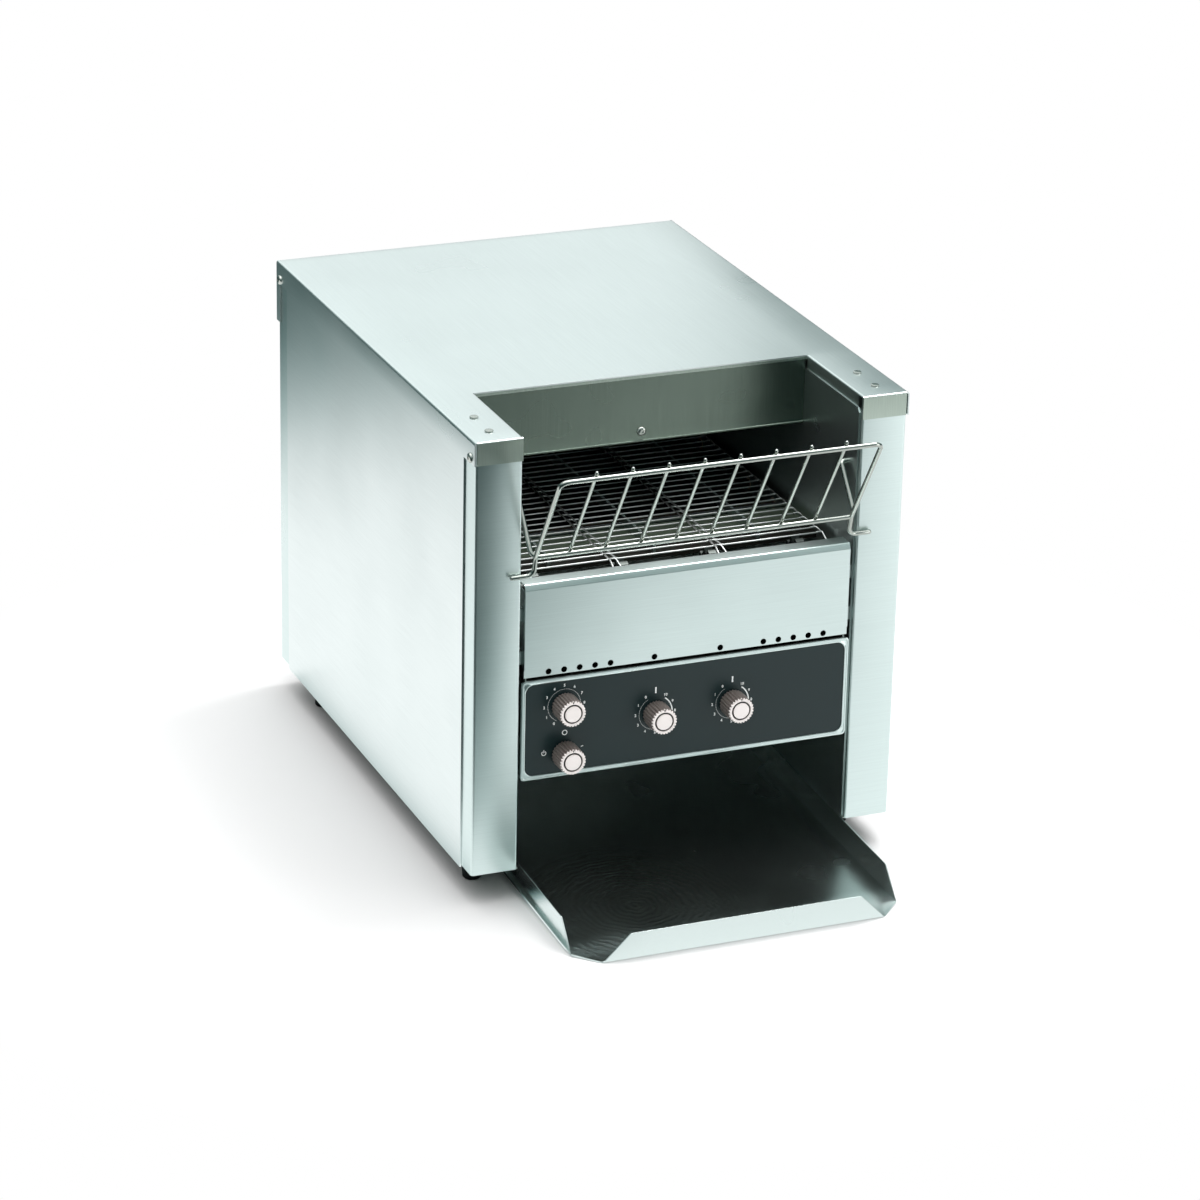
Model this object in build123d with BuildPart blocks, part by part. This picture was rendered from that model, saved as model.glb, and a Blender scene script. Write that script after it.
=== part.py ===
from build123d import *

import os
from math import cos, pi, radians, sin, tan

os.makedirs("parts", exist_ok=True)

# Conveyor toaster, in millimetres. +Z is up, the front faces -Y, and the origin is on the counter,
# under the middle of the whole machine. Depths are measured back from the cabinet's front plane,
# and drops are measured down from its top.

# ---------------------------------------------------------------- driving dimensions: cabinet
cabinet_width = 470.0
cabinet_depth = 615.0
side_height = 470.0  # top of the shell to the lower edge of its sides
foot_height = 32.0  # lower edge of the sides to the counter
shell_sheet = 1.5
inner_sheet = 1.2
tab_width = 51.3  # front tabs, one each side of the loading notch
notch_depth = 138.0
cap_drop = 24.5  # the shell's tabs and flanges reach this far down
front_strip = 30.0  # how far the sides stop short of the front, below the cap
rear_strip = 35.0
notch_flange = 14.0  # the flange folded down along each side of the notch
hook_tab = (11.0, 68.0)  # width and drop of the tab at the shell's rear corners
shell_bend = 2.0  # outer radius of the shell's long bends
cut_margin = 1.0  # how far a cutting tool passes the faces it cuts

# ---------------------------------------------------------------- driving dimensions: frame and walls
post_inset = 3.0  # post side strips stand this far inside the shell
post_side = 40.0
post_return = 9.0
post_tongue = 85.0  # top tongue that the tab rivets hold
rear_post_side = 42.0
rear_post_flange = 27.0
post_clear = 2.0  # posts stop this far above the shell's lower edge
wall_gap = 1.2  # inner walls stand this far inside the notch's edges
wall_front = 7.0
wall_setback = 12.0  # inner walls stop this far short of the cabinet's rear
wall_corner = 5.0
rivet_depths = (28.5, 70.5)
rivet_radius = 3.8
rivet_shank_radius = 2.8
rivet_sink = 0.3  # rivet heads below the shell's top
rivet_tail = 1.5
screw_head_radius = 5.2
screw_head_height = 2.4
screw_recess_radius = 1.73
screw_shank_radius = 2.0
screw_shank_length = 9.0
side_screw_drop = 19.0
side_screw_setback = 12.0  # from the shell's front and rear edges

# ---------------------------------------------------------------- driving dimensions: front panels
panel_depth = 4.5  # the panels stand this far behind the front plane
panel_rise = 12.0  # upper panel's top above the belt's wires
panel_height = 102.0
panel_gap = 5.7  # upper panel to the notch's edge
panel_fold = 4.5  # sloping fold along the panel's top
panel_flange = 14.0
vent_radius = 3.2
vent_rise = 4.3  # vent centres above the panel's bottom edge
vent_pitch = 16.8
vent_group = 5
vent_inset = 26.5  # outermost vent from the panel's end
vent_inner = 36.3  # single vents each side of the middle
frame_seam = 3.5  # upper panel to control frame
frame_gap = 3.1  # control frame to the notch's edge
frame_height = 108.8
frame_border = 4.4
frame_raise = 2.0
frame_corner = 4.0
frame_clear = 0.5  # control frame's rear face behind the upper panel's
plate_corner = 9.0
plate_thickness = 1.0
control_box_gap = 7.7  # control box to the notch's edge
control_box_depth = 104.0
control_box_headroom = 11.9  # below the belt's lower run
bracket_size = (14.0, 10.0)  # height, width of the small panel brackets
bracket_inset = 28.0  # from the panel's top and bottom edges
box_bracket_inset = (15.0, 30.0)  # from the control box's front and rear
box_bracket_rise = 42.0

# ---------------------------------------------------------------- driving dimensions: controls
knob_radius = 14.4
knob_length = 24.0
knob_flutes = 26
knob_flute_radius = 1.2
knob_gap = 1.0
knob_cap_radius = 12.6
knob_cap_raise = 0.8
knob_groove_radii = (9.07, 7.56)  # groove round the cap's middle disc, outer and inner
knob_bore_depth = 16.8
spindle_radius = 3.0
spindle_hole_radius = 5.0
spindle_bore_depth = 12.0
spindle_end_gap = 1.0
running_gap = 0.05
speed_place = (46.6, 31.5)  # in from the control frame's left edge, down from its top
power_place = (47.6, 24.3)  # in from the frame's left edge, up from its lower edge
top_heat_place = (-34.0, 54.5)  # across from the middle, down from the frame's top
bottom_heat_place = (51.0, 54.5)
speed_body = (13.0, 20.0)  # radius, length
switch_body = (40.0, 46.0)  # square side, length
regulator_body = (46.0, 38.0)
body_corner = 3.0

# ---------------------------------------------------------------- driving dimensions: belt and its drive
belt_gap = 7.5  # belt's ends to the inner walls
belt_lanes = 3
belt_wire = 2.4
belt_wire_inset = 0.5  # cross wires stop this far inside the belt's edges
belt_pitch = 14.5
belt_link = (5.0, 1.4)  # width and thickness of a linking column
sprocket_teeth = 8
belt_drop = 169.0  # middle of the upper run's wires
nose_shaft_depth = 67.0
belt_rear_gap = 69.0  # least distance from the drive shaft to the cabinet's rear
shaft_radius = 6.0
shaft_reach = 13.3  # shaft ends beyond the inner walls
sprocket_shares = (0.28, 0.84)  # sprockets' places as shares of the belt's half width
sprocket_width = 9.0
sprocket_root_radius = 12.5
sprocket_tooth_width = 5.0
tooth_clearance = 0.45  # a turning tooth to the wires
bearing_radius = 9.0
bearing_flange = (14.0, 3.0)
bearing_length = 9.0
chain_reach = 19.3  # chain's middle beyond the right inner wall
chain_width = 6.0
chain_half_height = 2.6
chain_wheel_radius = 26.0
pinion_radius = 15.0
chain_clearance = 0.5
chain_wheel_width = 3.0
chain_wheel_holes = 5
chain_wheel_hole = (3.9, 14.2)  # radius of the lightening holes, and of their circle
motor_rise = 54.8  # motor shaft above the base pan
motor_headroom = 21.3  # gearbox to the chute above its front
motor_shaft_radius = 5.0
motor_shaft_end_gap = 1.0
gearbox = (60.0, 76.0, 76.0)
gearbox_corner = 5.0
motor_can = (33.0, 70.0)  # radius, length
gearbox_gap = 4.5  # gearbox to the inner wall
motor_seat_sheet = 2.0
rail_width = 3.0
rail_setbacks = (29.0, 21.5)  # behind the nose shaft, in front of the drive shaft
rail_bar = 6.0
rail_bar_gap = 2.0  # front cross bar behind the deck

# ---------------------------------------------------------------- driving dimensions: heating and toast path
heater_radius = 4.0
heater_reach = 12.3  # heater ends beyond the inner walls
upper_heater_rise = 65.0  # above the belt's wires
upper_heater_count = 6
upper_heater_insets = (30.0, 50.0)  # from the upper reflector's front and rear
lower_heater_fall = 19.0  # below the belt's wires
lower_heater_count = 5
lower_heater_insets = (27.0, 35.0)
insulator_radius = 7.0
insulator_length = 5.0
upper_reflector_rise = 81.0
upper_reflector_setbacks = (92.0, 5.5)  # behind the notch, in front of the drive shaft
upper_reflector_lip = 12.0
insulation_thickness = 30.0
insulation_gaps = (2.0, 4.0)  # to the walls, and to the reflector's ends
insulation_corner = 4.0
lower_reflector_fall = 30.0
lower_reflector_setbacks = (111.0, 45.5)  # behind the nose shaft, in front of the drive shaft
deck_fall = 11.0
deck_setback = 28.0  # behind the nose shaft
deck_length = 77.0
deck_lip = 6.0
splash_drop = 74.0
splash_roll = 2.4
splash_flange = 13.0
splash_screw_rise = 11.6  # above the splash panel's lower edge
chute_setback = 15.0  # from the cabinet's rear
chute_top_drop = 95.0
chute_fall = 188.0  # bend to front end
chute_end_rise = 20.8  # front end above the base pan
chute_end_gap = 6.0  # behind the tray
chute_bend = 60.0

# ---------------------------------------------------------------- driving dimensions: tray
tray_reach = 162.3  # front fold in front of the cabinet
tray_rear = 330.0
tray_gap = 3.0  # to the inner walls
tray_slope = 2.5
tray_flange = 29.5
tray_lip = 29.0
tray_corner = 25.0
tray_mitre = 28.6  # how far the flange and lip ends are cut back at the top
tray_hole_radius = 2.0
tray_hole_inset = (4.0, 5.0)  # behind the mitre, below the flange's top
ledge_width = 16.0
ledge_gap = 0.4
pan_gap = 2.0  # base pan behind the tray

# ---------------------------------------------------------------- driving dimensions: loading rack
rack_wire = 5.0
rack_bar = 4.0
rack_gap = 10.5  # frame's sides to the inner walls
rack_top = (-70.3, 24.2)  # depth, drop of the top rail
rack_bottom = (-6.8, 125.0)
rack_hook = (-2.5, 145.8)
rack_hook_reach = 11.3  # hook ends beyond the inner walls
rack_pivot = (30.0, 78.0)
rack_leg_gap = 6.5  # legs to the inner walls
rack_tip_reach = 6.3
rack_bend = 8.0
rack_knee = 18.0
rack_bar_count = 8
rack_bar_over = 5.5  # bars pass the top rail
rack_bar_under = 2.5
rack_bar_round = 1.7
weld_sink = 0.1

# ---------------------------------------------------------------- driving dimensions: feet and back
foot_inset = 27.5
foot_setbacks = (68.0, 75.0)  # from the cabinet's front and rear
foot_top_radius = 12.0
foot_bottom_radius = 9.5
fan_size = 80.0
fan_corner = 5.0
fan_thickness = 25.0
fan_inset = 112.0  # from the left post
fan_rise = 53.0  # above the back panel's lower edge
fan_bore_radius = 38.0
fan_tip_radius = 36.5
fan_hub_radius = 16.0
fan_blades = 7
fan_blade_thickness = 2.0
fan_blade_length = 15.0
fan_blade_root = 1.0  # blades sink this far into the hub
fan_blade_pitch = 35.0
fan_axle_radius = 3.0
fan_spider = (4.0, 3.0)  # width and thickness of the frame's arms
fan_rotor_gap = 2.0  # rotor behind the back panel's inner face
guard_ring_radii = (12.0, 21.0, 30.0, 39.0)
guard_wire_radius = 1.2
guard_arm_width = 2.4
guard_foot = (2.4, 7.2)  # radius, length
guard_standoff = 3.6
gland_inset = 82.0  # from the right post
gland_rise = 43.0
gland_bore_radius = 6.0
gland_thread_radius = 10.0
gland_hex_radius = 13.0
gland_cap_radius = 11.0
gland_out = 18.0
gland_in = 7.0
terminal_size = (52.0, 34.0, 24.0)
terminal_gap = 10.0  # beside the motor
terminal_setback = 37.0  # its middle in front of the back panel
terminal_hole_radius = 3.0
louvre = (64.0, 5.0)
louvre_pitch = 14.0
louvre_rows = 8
louvre_inset = 122.0
louvre_top_drop = 70.0

# ---------------------------------------------------------------- derived values
half_width = cabinet_width / 2
notch_half = half_width - tab_width
top = foot_height + side_height
slope = radians(tray_slope)
front_reach = tray_reach + tray_lip * sin(slope)
rear_reach = cabinet_depth - shell_sheet + gland_out
front = (front_reach - rear_reach) / 2  # Y of the cabinet's front plane

post_outer = half_width - post_inset
wall_outer = notch_half
wall_inner = notch_half - wall_gap
wall_top = notch_flange
wall_rear = cabinet_depth - wall_setback
floor_drop = side_height - post_clear  # underside of the base pan and of the posts
pan_drop = floor_drop - inner_sheet  # upper face of the base pan
post_face = shell_sheet  # depth of the posts' front faces
post_back = post_face + shell_sheet
back_outer = cabinet_depth - shell_sheet  # depth of the back panel's outer face
back_inner = back_outer - shell_sheet

belt_half_width = wall_inner - belt_gap
lane_width = 2 * belt_half_width / belt_lanes
straight_rows = int((cabinet_depth - nose_shaft_depth - belt_rear_gap) // belt_pitch)
sprocket_pitch_radius = belt_pitch / (2 * sin(pi / sprocket_teeth))
sprocket_tip = sprocket_pitch_radius - belt_wire / 2 - tooth_clearance
sprocket_across = [side * share * belt_half_width for share in sprocket_shares for side in (-1, 1)]
shaft_drop = belt_drop + sprocket_pitch_radius
drive_shaft_depth = nose_shaft_depth + straight_rows * belt_pitch
shaft_end = wall_outer + shaft_reach
chain_across = wall_outer + chain_reach
rail_span = (nose_shaft_depth + rail_setbacks[0], drive_shaft_depth - rail_setbacks[1])

panel_half_width = notch_half - panel_gap
panel_top_drop = belt_drop - panel_rise
panel_bottom_drop = panel_top_drop + panel_height
frame_half_width = notch_half - frame_gap
frame_top_drop = panel_bottom_drop + frame_seam
frame_bottom_drop = frame_top_drop + frame_height
frame_back = panel_depth + inner_sheet + frame_clear  # depth of the control frame's rear face
plate_back = frame_back - inner_sheet
plate_front = plate_back - plate_thickness
control_box_half_width = notch_half - control_box_gap
control_box_top_drop = shaft_drop + sprocket_pitch_radius + belt_wire / 2 + control_box_headroom
speed_centre = (speed_place[0] - frame_half_width, frame_top_drop + speed_place[1])
power_centre = (power_place[0] - frame_half_width, frame_bottom_drop - power_place[1])
top_heat_centre = (top_heat_place[0], frame_top_drop + top_heat_place[1])
bottom_heat_centre = (bottom_heat_place[0], frame_top_drop + bottom_heat_place[1])
control_places = (speed_centre, power_centre, top_heat_centre, bottom_heat_centre)

deck_drop = belt_drop + deck_fall
deck_span = (nose_shaft_depth + deck_setback, nose_shaft_depth + deck_setback + deck_length)
upper_reflector_drop = belt_drop - upper_reflector_rise
upper_reflector_span = (
    notch_depth + upper_reflector_setbacks[0],
    drive_shaft_depth - upper_reflector_setbacks[1],
)
lower_reflector_drop = belt_drop + lower_reflector_fall
lower_reflector_span = (
    nose_shaft_depth + lower_reflector_setbacks[0],
    drive_shaft_depth - lower_reflector_setbacks[1],
)
upper_heater_drop = belt_drop - upper_heater_rise
lower_heater_drop = belt_drop + lower_heater_fall
heater_end = wall_outer + heater_reach

chute_depth = cabinet_depth - chute_setback
chute_end_depth = tray_rear + chute_end_gap
chute_end_drop = pan_drop - chute_end_rise
chute_bend_drop = chute_end_drop - chute_fall
motor_drop = pan_drop - motor_rise
chute_run = chute_depth - chute_end_depth
gearbox_front_fall = motor_drop - gearbox[2] / 2 - motor_headroom - chute_bend_drop
motor_depth = chute_depth - gearbox_front_fall * chute_run / chute_fall + gearbox[1] / 2
gearbox_right = wall_inner - gearbox_gap
motor_left = gearbox_right - gearbox[0] - motor_can[1]
terminal_place = (motor_left - terminal_gap - terminal_size[0] / 2, back_inner - terminal_setback)

tray_half_width = wall_inner - tray_gap
rack_half_width = wall_inner - rack_gap
rack_leg_half_width = wall_inner - rack_leg_gap
rack_hook_end = wall_outer + rack_hook_reach
rack_tip_end = wall_outer + rack_tip_reach
rack_bar_pitch = 2 * rack_half_width / (rack_bar_count + 1)
foot_across = half_width - foot_inset
foot_depths = (foot_setbacks[0], cabinet_depth - foot_setbacks[1])
fan_place = (fan_inset - post_outer, floor_drop - fan_rise)
gland_place = (post_outer - gland_inset, floor_drop - gland_rise)
louvre_across = post_outer - louvre_inset


def spaced(span, insets, count):
    """Evenly spaced depths between two insets from the ends of a span."""
    first, last = span[0] + insets[0], span[1] - insets[1]
    return [first + (last - first) * index / (count - 1) for index in range(count)]


upper_heater_depths = spaced(upper_reflector_span, upper_heater_insets, upper_heater_count)
lower_heater_depths = spaced(lower_reflector_span, lower_heater_insets, lower_heater_count)


def back(depth):
    """Y of a point this far behind the cabinet's front plane."""
    return front + depth


def below(drop):
    """Z of a point this far below the cabinet's top."""
    return top - drop


def block(x, depths, drops, mode=Mode.ADD):
    """A block between two places across, two depths and two drops."""
    middle = (sum(x) / 2, back(sum(depths) / 2), below(sum(drops) / 2))
    with Locations(middle):
        Box(abs(x[1] - x[0]), abs(depths[1] - depths[0]), abs(drops[1] - drops[0]), mode=mode)


def rod(radius, x, depth, drop, mode=Mode.ADD):
    """A round bar along X between two places across."""
    with Locations(((x[0] + x[1]) / 2, back(depth), below(drop))):
        Cylinder(radius, abs(x[1] - x[0]), rotation=(0, 90, 0), mode=mode)


def facing_front(across, depth, drop):
    """A plane that looks forward, with its origin at the given place."""
    return Plane(origin=(across, back(depth), below(drop)), x_dir=(1, 0, 0), z_dir=(0, -1, 0))


def facing_right(across, depth, drop):
    """A plane that looks to +X, with local x running back and local y running up."""
    return Plane(origin=(across, back(depth), below(drop)), x_dir=(0, 1, 0), z_dir=(1, 0, 0))


def save(piece, name):
    """Labels a finished piece and writes it."""
    piece.part.label = name
    export_step(piece.part, f"parts/{name}.step")


# ================================================================ outer shell
with BuildPart() as outer_shell:
    block((-half_width, half_width), (0, cabinet_depth), (0, shell_sheet))
    for side in (-1, 1):
        outer, inner = side * half_width, side * (half_width - shell_sheet)
        block((inner, outer), (0, cabinet_depth), (0, side_height))
    long_bends = outer_shell.edges().filter_by(Axis.Y).group_by(Axis.Z)[-1]
    fillet([long_bends.sort_by(Axis.X)[0], long_bends.sort_by(Axis.X)[-1]], shell_bend)
    for side in (-1, 1):
        outer, inner = side * half_width, side * (half_width - shell_sheet)
        block((inner, outer), (0, front_strip), (cap_drop, side_height), Mode.SUBTRACT)
        rear_cut = (cabinet_depth - rear_strip, cabinet_depth)
        block((inner, outer), rear_cut, (cap_drop, side_height), Mode.SUBTRACT)
        block((inner, outer), (cabinet_depth - hook_tab[0], cabinet_depth), (cap_drop, hook_tab[1]))
    block((-notch_half, notch_half), (0, notch_depth), (0, shell_sheet), Mode.SUBTRACT)
    for side in (-1, 1):
        inner = side * (half_width - shell_sheet)
        block((side * notch_half, inner), (0, shell_sheet), (shell_sheet, cap_drop))
        edge = side * notch_half
        block((edge, edge + side * shell_sheet), (post_back, notch_depth), (shell_sheet, notch_flange))
    block(
        (-half_width + shell_sheet, half_width - shell_sheet),
        (cabinet_depth - shell_sheet, cabinet_depth),
        (shell_sheet, cap_drop),
    )
    tab_middle = (notch_half + half_width) / 2
    with Locations(*[(s * tab_middle, back(d), top) for s in (-1, 1) for d in rivet_depths]):
        Cylinder(rivet_radius, 4 * shell_sheet, mode=Mode.SUBTRACT)
    reach = (-half_width - cut_margin, half_width + cut_margin)
    for depth in (side_screw_setback, cabinet_depth - side_screw_setback):
        rod(screw_shank_radius, reach, depth, side_screw_drop, Mode.SUBTRACT)
save(outer_shell, "outer_shell")

# ================================================================ corner posts
for side, name in ((-1, "left"), (1, "right")):
    outer = side * post_outer
    inner = side * notch_half
    skin = side * shell_sheet
    with BuildPart() as front_post:
        block((inner, outer), (post_face, post_back), (shell_sheet, floor_drop))
        block((outer - skin, outer), (post_back, post_side), (shell_sheet, floor_drop))
        block((inner, inner + skin), (post_back, post_back + post_return), (notch_flange, pan_drop))
        block((inner + 2 * skin, outer - skin), (post_back, post_tongue), (shell_sheet, 2 * shell_sheet))
        with Locations(*[(side * tab_middle, back(d), top) for d in rivet_depths]):
            Cylinder(rivet_shank_radius, 8 * shell_sheet, mode=Mode.SUBTRACT)
        reach = (outer - 2 * skin, outer + skin)
        rod(screw_shank_radius, reach, side_screw_setback, side_screw_drop, Mode.SUBTRACT)
    save(front_post, f"{name}_front_post")

    rear = back_inner
    with BuildPart() as rear_post:
        block((outer - skin, outer), (rear - rear_post_side, rear), (shell_sheet, floor_drop))
        flange = (outer - side * rear_post_flange, outer - skin)
        block(flange, (rear - shell_sheet, rear), (shell_sheet, pan_drop))
        rear_screw_depth = cabinet_depth - side_screw_setback
        rod(screw_shank_radius, reach, rear_screw_depth, side_screw_drop, Mode.SUBTRACT)
    save(rear_post, f"{name}_rear_post")

# ================================================================ rivets and screws
with BuildPart() as tab_rivets:
    rivet_top = top - rivet_sink
    rivet_bottom = below(2 * shell_sheet + rivet_tail)
    for side in (-1, 1):
        for depth in rivet_depths:
            place = (side * tab_middle, back(depth))
            with Locations((*place, (rivet_top + below(shell_sheet)) / 2)):
                Cylinder(rivet_radius, rivet_top - below(shell_sheet))
            with Locations((*place, (below(shell_sheet) + rivet_bottom) / 2)):
                Cylinder(rivet_shank_radius, below(shell_sheet) - rivet_bottom)
save(tab_rivets, "tab_rivets")

with BuildPart() as shell_screws:
    for side in (-1, 1):
        for depth in (side_screw_setback, cabinet_depth - side_screw_setback):
            face = side * half_width
            rod(screw_head_radius, (face, face + side * screw_head_height), depth, side_screw_drop)
            rod(screw_shank_radius, (face - side * screw_shank_length, face), depth, side_screw_drop)
            recess = (face + side * screw_head_height / 2, face + side * 2 * screw_head_height)
            rod(screw_recess_radius, recess, depth, side_screw_drop, Mode.SUBTRACT)
save(shell_screws, "shell_screws")

# ================================================================ base pan and feet
ledge_drop = top - (tray_reach + tray_rear - ledge_width) * tan(slope) + ledge_gap
with BuildPart() as base_pan:
    pan_front = tray_rear + pan_gap
    pan_half = post_outer - shell_sheet
    block((-pan_half, pan_half), (pan_front, back_inner), (pan_drop, floor_drop))
    for side in (-1, 1):
        arm = (side * wall_inner, side * pan_half)
        block(arm, (post_back, pan_front), (pan_drop, floor_drop))
    lip = (-wall_inner + inner_sheet, wall_inner - inner_sheet)
    block(lip, (pan_front, pan_front + inner_sheet), (floor_drop, ledge_drop + inner_sheet))
    block(lip, (tray_rear - ledge_width, pan_front), (ledge_drop, ledge_drop + inner_sheet))
save(base_pan, "base_pan")

with BuildPart() as feet:
    for side in (-1, 1):
        for depth in foot_depths:
            with Locations((side * foot_across, back(depth), below(floor_drop) / 2)):
                Cone(foot_bottom_radius, foot_top_radius, below(floor_drop))
save(feet, "feet")

# ================================================================ inner walls
for side, name in ((-1, "left"), (1, "right")):
    with BuildPart() as inner_wall:
        span = (side * wall_inner, side * wall_outer)
        block(span, (wall_front, wall_rear), (wall_top, pan_drop))
        corner = inner_wall.edges().filter_by(Axis.X).sort_by(Axis.Z)[-2:].sort_by(Axis.Y)[0]
        chamfer(corner, wall_corner)
        reach = (span[0] - side * cut_margin, span[1] + side * cut_margin)
        for depth in (nose_shaft_depth, drive_shaft_depth):
            rod(bearing_radius, reach, depth, shaft_drop, Mode.SUBTRACT)
        for depth in upper_heater_depths:
            rod(insulator_radius, reach, depth, upper_heater_drop, Mode.SUBTRACT)
        for depth in lower_heater_depths:
            rod(insulator_radius, reach, depth, lower_heater_drop, Mode.SUBTRACT)
        rod(rack_wire / 2 + running_gap, reach, *rack_pivot, Mode.SUBTRACT)
        if side > 0:
            rod(bearing_radius, reach, motor_depth, motor_drop, Mode.SUBTRACT)
    save(inner_wall, f"{name}_inner_wall")

# ================================================================ splash panel
with BuildPart() as splash_panel:
    across = (-wall_inner, wall_inner)
    splash_back = notch_depth + inner_sheet
    block(across, (notch_depth, splash_back), (shell_sheet, splash_drop - splash_roll))
    block(across, (splash_back, notch_depth + splash_flange), (shell_sheet, shell_sheet + inner_sheet))
    rod(splash_roll, across, notch_depth, splash_drop - splash_roll)
    splash_screw_place = facing_front(0, notch_depth, splash_drop - splash_screw_rise)
    with Locations(splash_screw_place):
        Cylinder(screw_shank_radius, 8 * inner_sheet, mode=Mode.SUBTRACT)
save(splash_panel, "splash_panel")

with BuildPart() as splash_screw:
    with BuildSketch(splash_screw_place):
        Circle(screw_head_radius)
    extrude(amount=screw_head_height)
    fillet(splash_screw.edges().group_by(Axis.Y)[0], screw_head_height / 2)
    with BuildSketch(splash_screw_place):
        Circle(screw_shank_radius)
    extrude(amount=-screw_shank_length)
    with BuildSketch(splash_screw_place.offset(screw_head_height)):
        RegularPolygon(screw_recess_radius, 6)
    extrude(amount=-screw_head_height / 2, mode=Mode.SUBTRACT)
save(splash_screw, "splash_screw")

# ================================================================ upper front panel
with BuildPart() as upper_front_panel:
    face_back = panel_depth + inner_sheet
    fold_drop = panel_top_drop + panel_fold
    with BuildSketch(facing_right(-panel_half_width, 0, 0)):
        with BuildLine():
            Polyline(
                (panel_depth, -panel_bottom_drop),
                (panel_depth, -fold_drop),
                (panel_depth + panel_fold, -panel_top_drop),
                (panel_depth + panel_fold + panel_flange, -panel_top_drop),
                (panel_depth + panel_fold + panel_flange, -panel_top_drop - inner_sheet),
                (panel_depth + panel_fold + inner_sheet / 2, -panel_top_drop - inner_sheet),
                (face_back, -fold_drop - inner_sheet / 2),
                (face_back, -panel_bottom_drop),
                close=True,
            )
        make_face()
    extrude(amount=2 * panel_half_width)
    for side in (-1, 1):
        skin = (side * (panel_half_width - inner_sheet), side * panel_half_width)
        returns = (face_back, panel_depth + panel_fold + panel_flange)
        block(skin, returns, (fold_drop + inner_sheet / 2, panel_bottom_drop))
    vent_outer = panel_half_width - vent_inset
    vent_line = [vent_outer - i * vent_pitch for i in range(vent_group)] + [vent_inner]
    vents = [(s * x, panel_bottom_drop - vent_rise) for s in (-1, 1) for x in vent_line]
    with Locations(*[facing_front(x, panel_depth, drop) for x, drop in vents]):
        Cylinder(vent_radius, 4 * inner_sheet, mode=Mode.SUBTRACT)
save(upper_front_panel, "upper_front_panel")

# ================================================================ control panel
frame_middle = (frame_top_drop + frame_bottom_drop) / 2
plate_width = 2 * (frame_half_width - frame_border)
plate_height = frame_height - 2 * frame_border


def spindle_holes():
    """Holes through the control panel for the four spindles."""
    with Locations(*[facing_front(x, frame_back, drop) for x, drop in control_places]):
        Cylinder(spindle_hole_radius, 8 * inner_sheet, mode=Mode.SUBTRACT)


with BuildPart() as control_frame:
    with BuildSketch(facing_front(0, frame_back, frame_middle)):
        RectangleRounded(2 * frame_half_width, frame_height, frame_corner)
    extrude(amount=inner_sheet + frame_raise)
    with BuildSketch(facing_front(0, plate_back, frame_middle)):
        RectangleRounded(plate_width, plate_height, plate_corner)
    extrude(amount=frame_raise, mode=Mode.SUBTRACT)
    spindle_holes()
save(control_frame, "control_frame")

with BuildPart() as control_plate:
    with BuildSketch(facing_front(0, plate_back, frame_middle)):
        RectangleRounded(plate_width, plate_height, plate_corner)
    extrude(amount=plate_thickness)
    spindle_holes()
save(control_plate, "control_plate")

with BuildPart() as control_box:
    box_back = frame_back + control_box_depth
    box_x = (-control_box_half_width, control_box_half_width)
    block(box_x, (frame_back, box_back), (control_box_top_drop, frame_bottom_drop))
    hollow_x = (box_x[0] + inner_sheet, box_x[1] - inner_sheet)
    hollow_drops = (control_box_top_drop + inner_sheet, frame_bottom_drop - inner_sheet)
    block(hollow_x, (frame_back - cut_margin, box_back - inner_sheet), hollow_drops, Mode.SUBTRACT)
save(control_box, "control_box")

with BuildPart() as panel_brackets:
    bracket_height, bracket_width = bracket_size
    for side in (-1, 1):
        wall = side * wall_inner
        for drop in (panel_top_drop + bracket_inset, panel_bottom_drop - bracket_inset):
            foot = (side * panel_half_width, wall)
            depth = panel_depth + panel_fold
            block(foot, (depth, depth + bracket_width), (drop, drop + bracket_height))
        for depth in (frame_back + box_bracket_inset[0], box_back - box_bracket_inset[1]):
            foot = (side * control_box_half_width, wall)
            drop = frame_bottom_drop - box_bracket_rise
            block(foot, (depth, depth + bracket_height), (drop, drop + bracket_height))
save(panel_brackets, "panel_brackets")

# ================================================================ knobs, spindles and what they turn
for (across, drop), name in zip(control_places, ("speed", "power", "top_heat", "bottom_heat")):
    knob_back = plate_front - knob_gap
    with BuildPart() as knob:
        with BuildSketch(facing_front(across, knob_back, drop)):
            Circle(knob_radius)
            with PolarLocations(knob_radius + knob_flute_radius / 2, knob_flutes):
                Circle(knob_flute_radius, mode=Mode.SUBTRACT)
        extrude(amount=knob_length - knob_cap_raise)
        with BuildSketch(facing_front(across, knob_back - knob_length + knob_cap_raise, drop)):
            Circle(knob_cap_radius)
            Circle(knob_groove_radii[0], mode=Mode.SUBTRACT)
            Circle(knob_groove_radii[1])
        extrude(amount=knob_cap_raise)
        with BuildSketch(facing_front(across, knob_back, drop)):
            Circle(spindle_radius)
        extrude(amount=knob_bore_depth, mode=Mode.SUBTRACT)
    save(knob, f"{name}_knob")

    spindle_end = frame_back + spindle_bore_depth - spindle_end_gap
    with BuildPart() as spindle:
        with BuildSketch(facing_front(across, spindle_end, drop)):
            Circle(spindle_radius)
        extrude(amount=spindle_end - knob_back + knob_bore_depth)
    save(spindle, f"{name}_spindle")


def spindle_bore(across, drop):
    """The blind bore that a spindle turns in."""
    with Locations(facing_front(across, frame_back, drop)):
        Cylinder(spindle_radius + running_gap, 2 * spindle_bore_depth, mode=Mode.SUBTRACT)


with BuildPart() as speed_control:
    with BuildSketch(facing_front(speed_centre[0], frame_back + speed_body[1], speed_centre[1])):
        Circle(speed_body[0])
    extrude(amount=speed_body[1])
    spindle_bore(*speed_centre)
save(speed_control, "speed_control")

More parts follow.
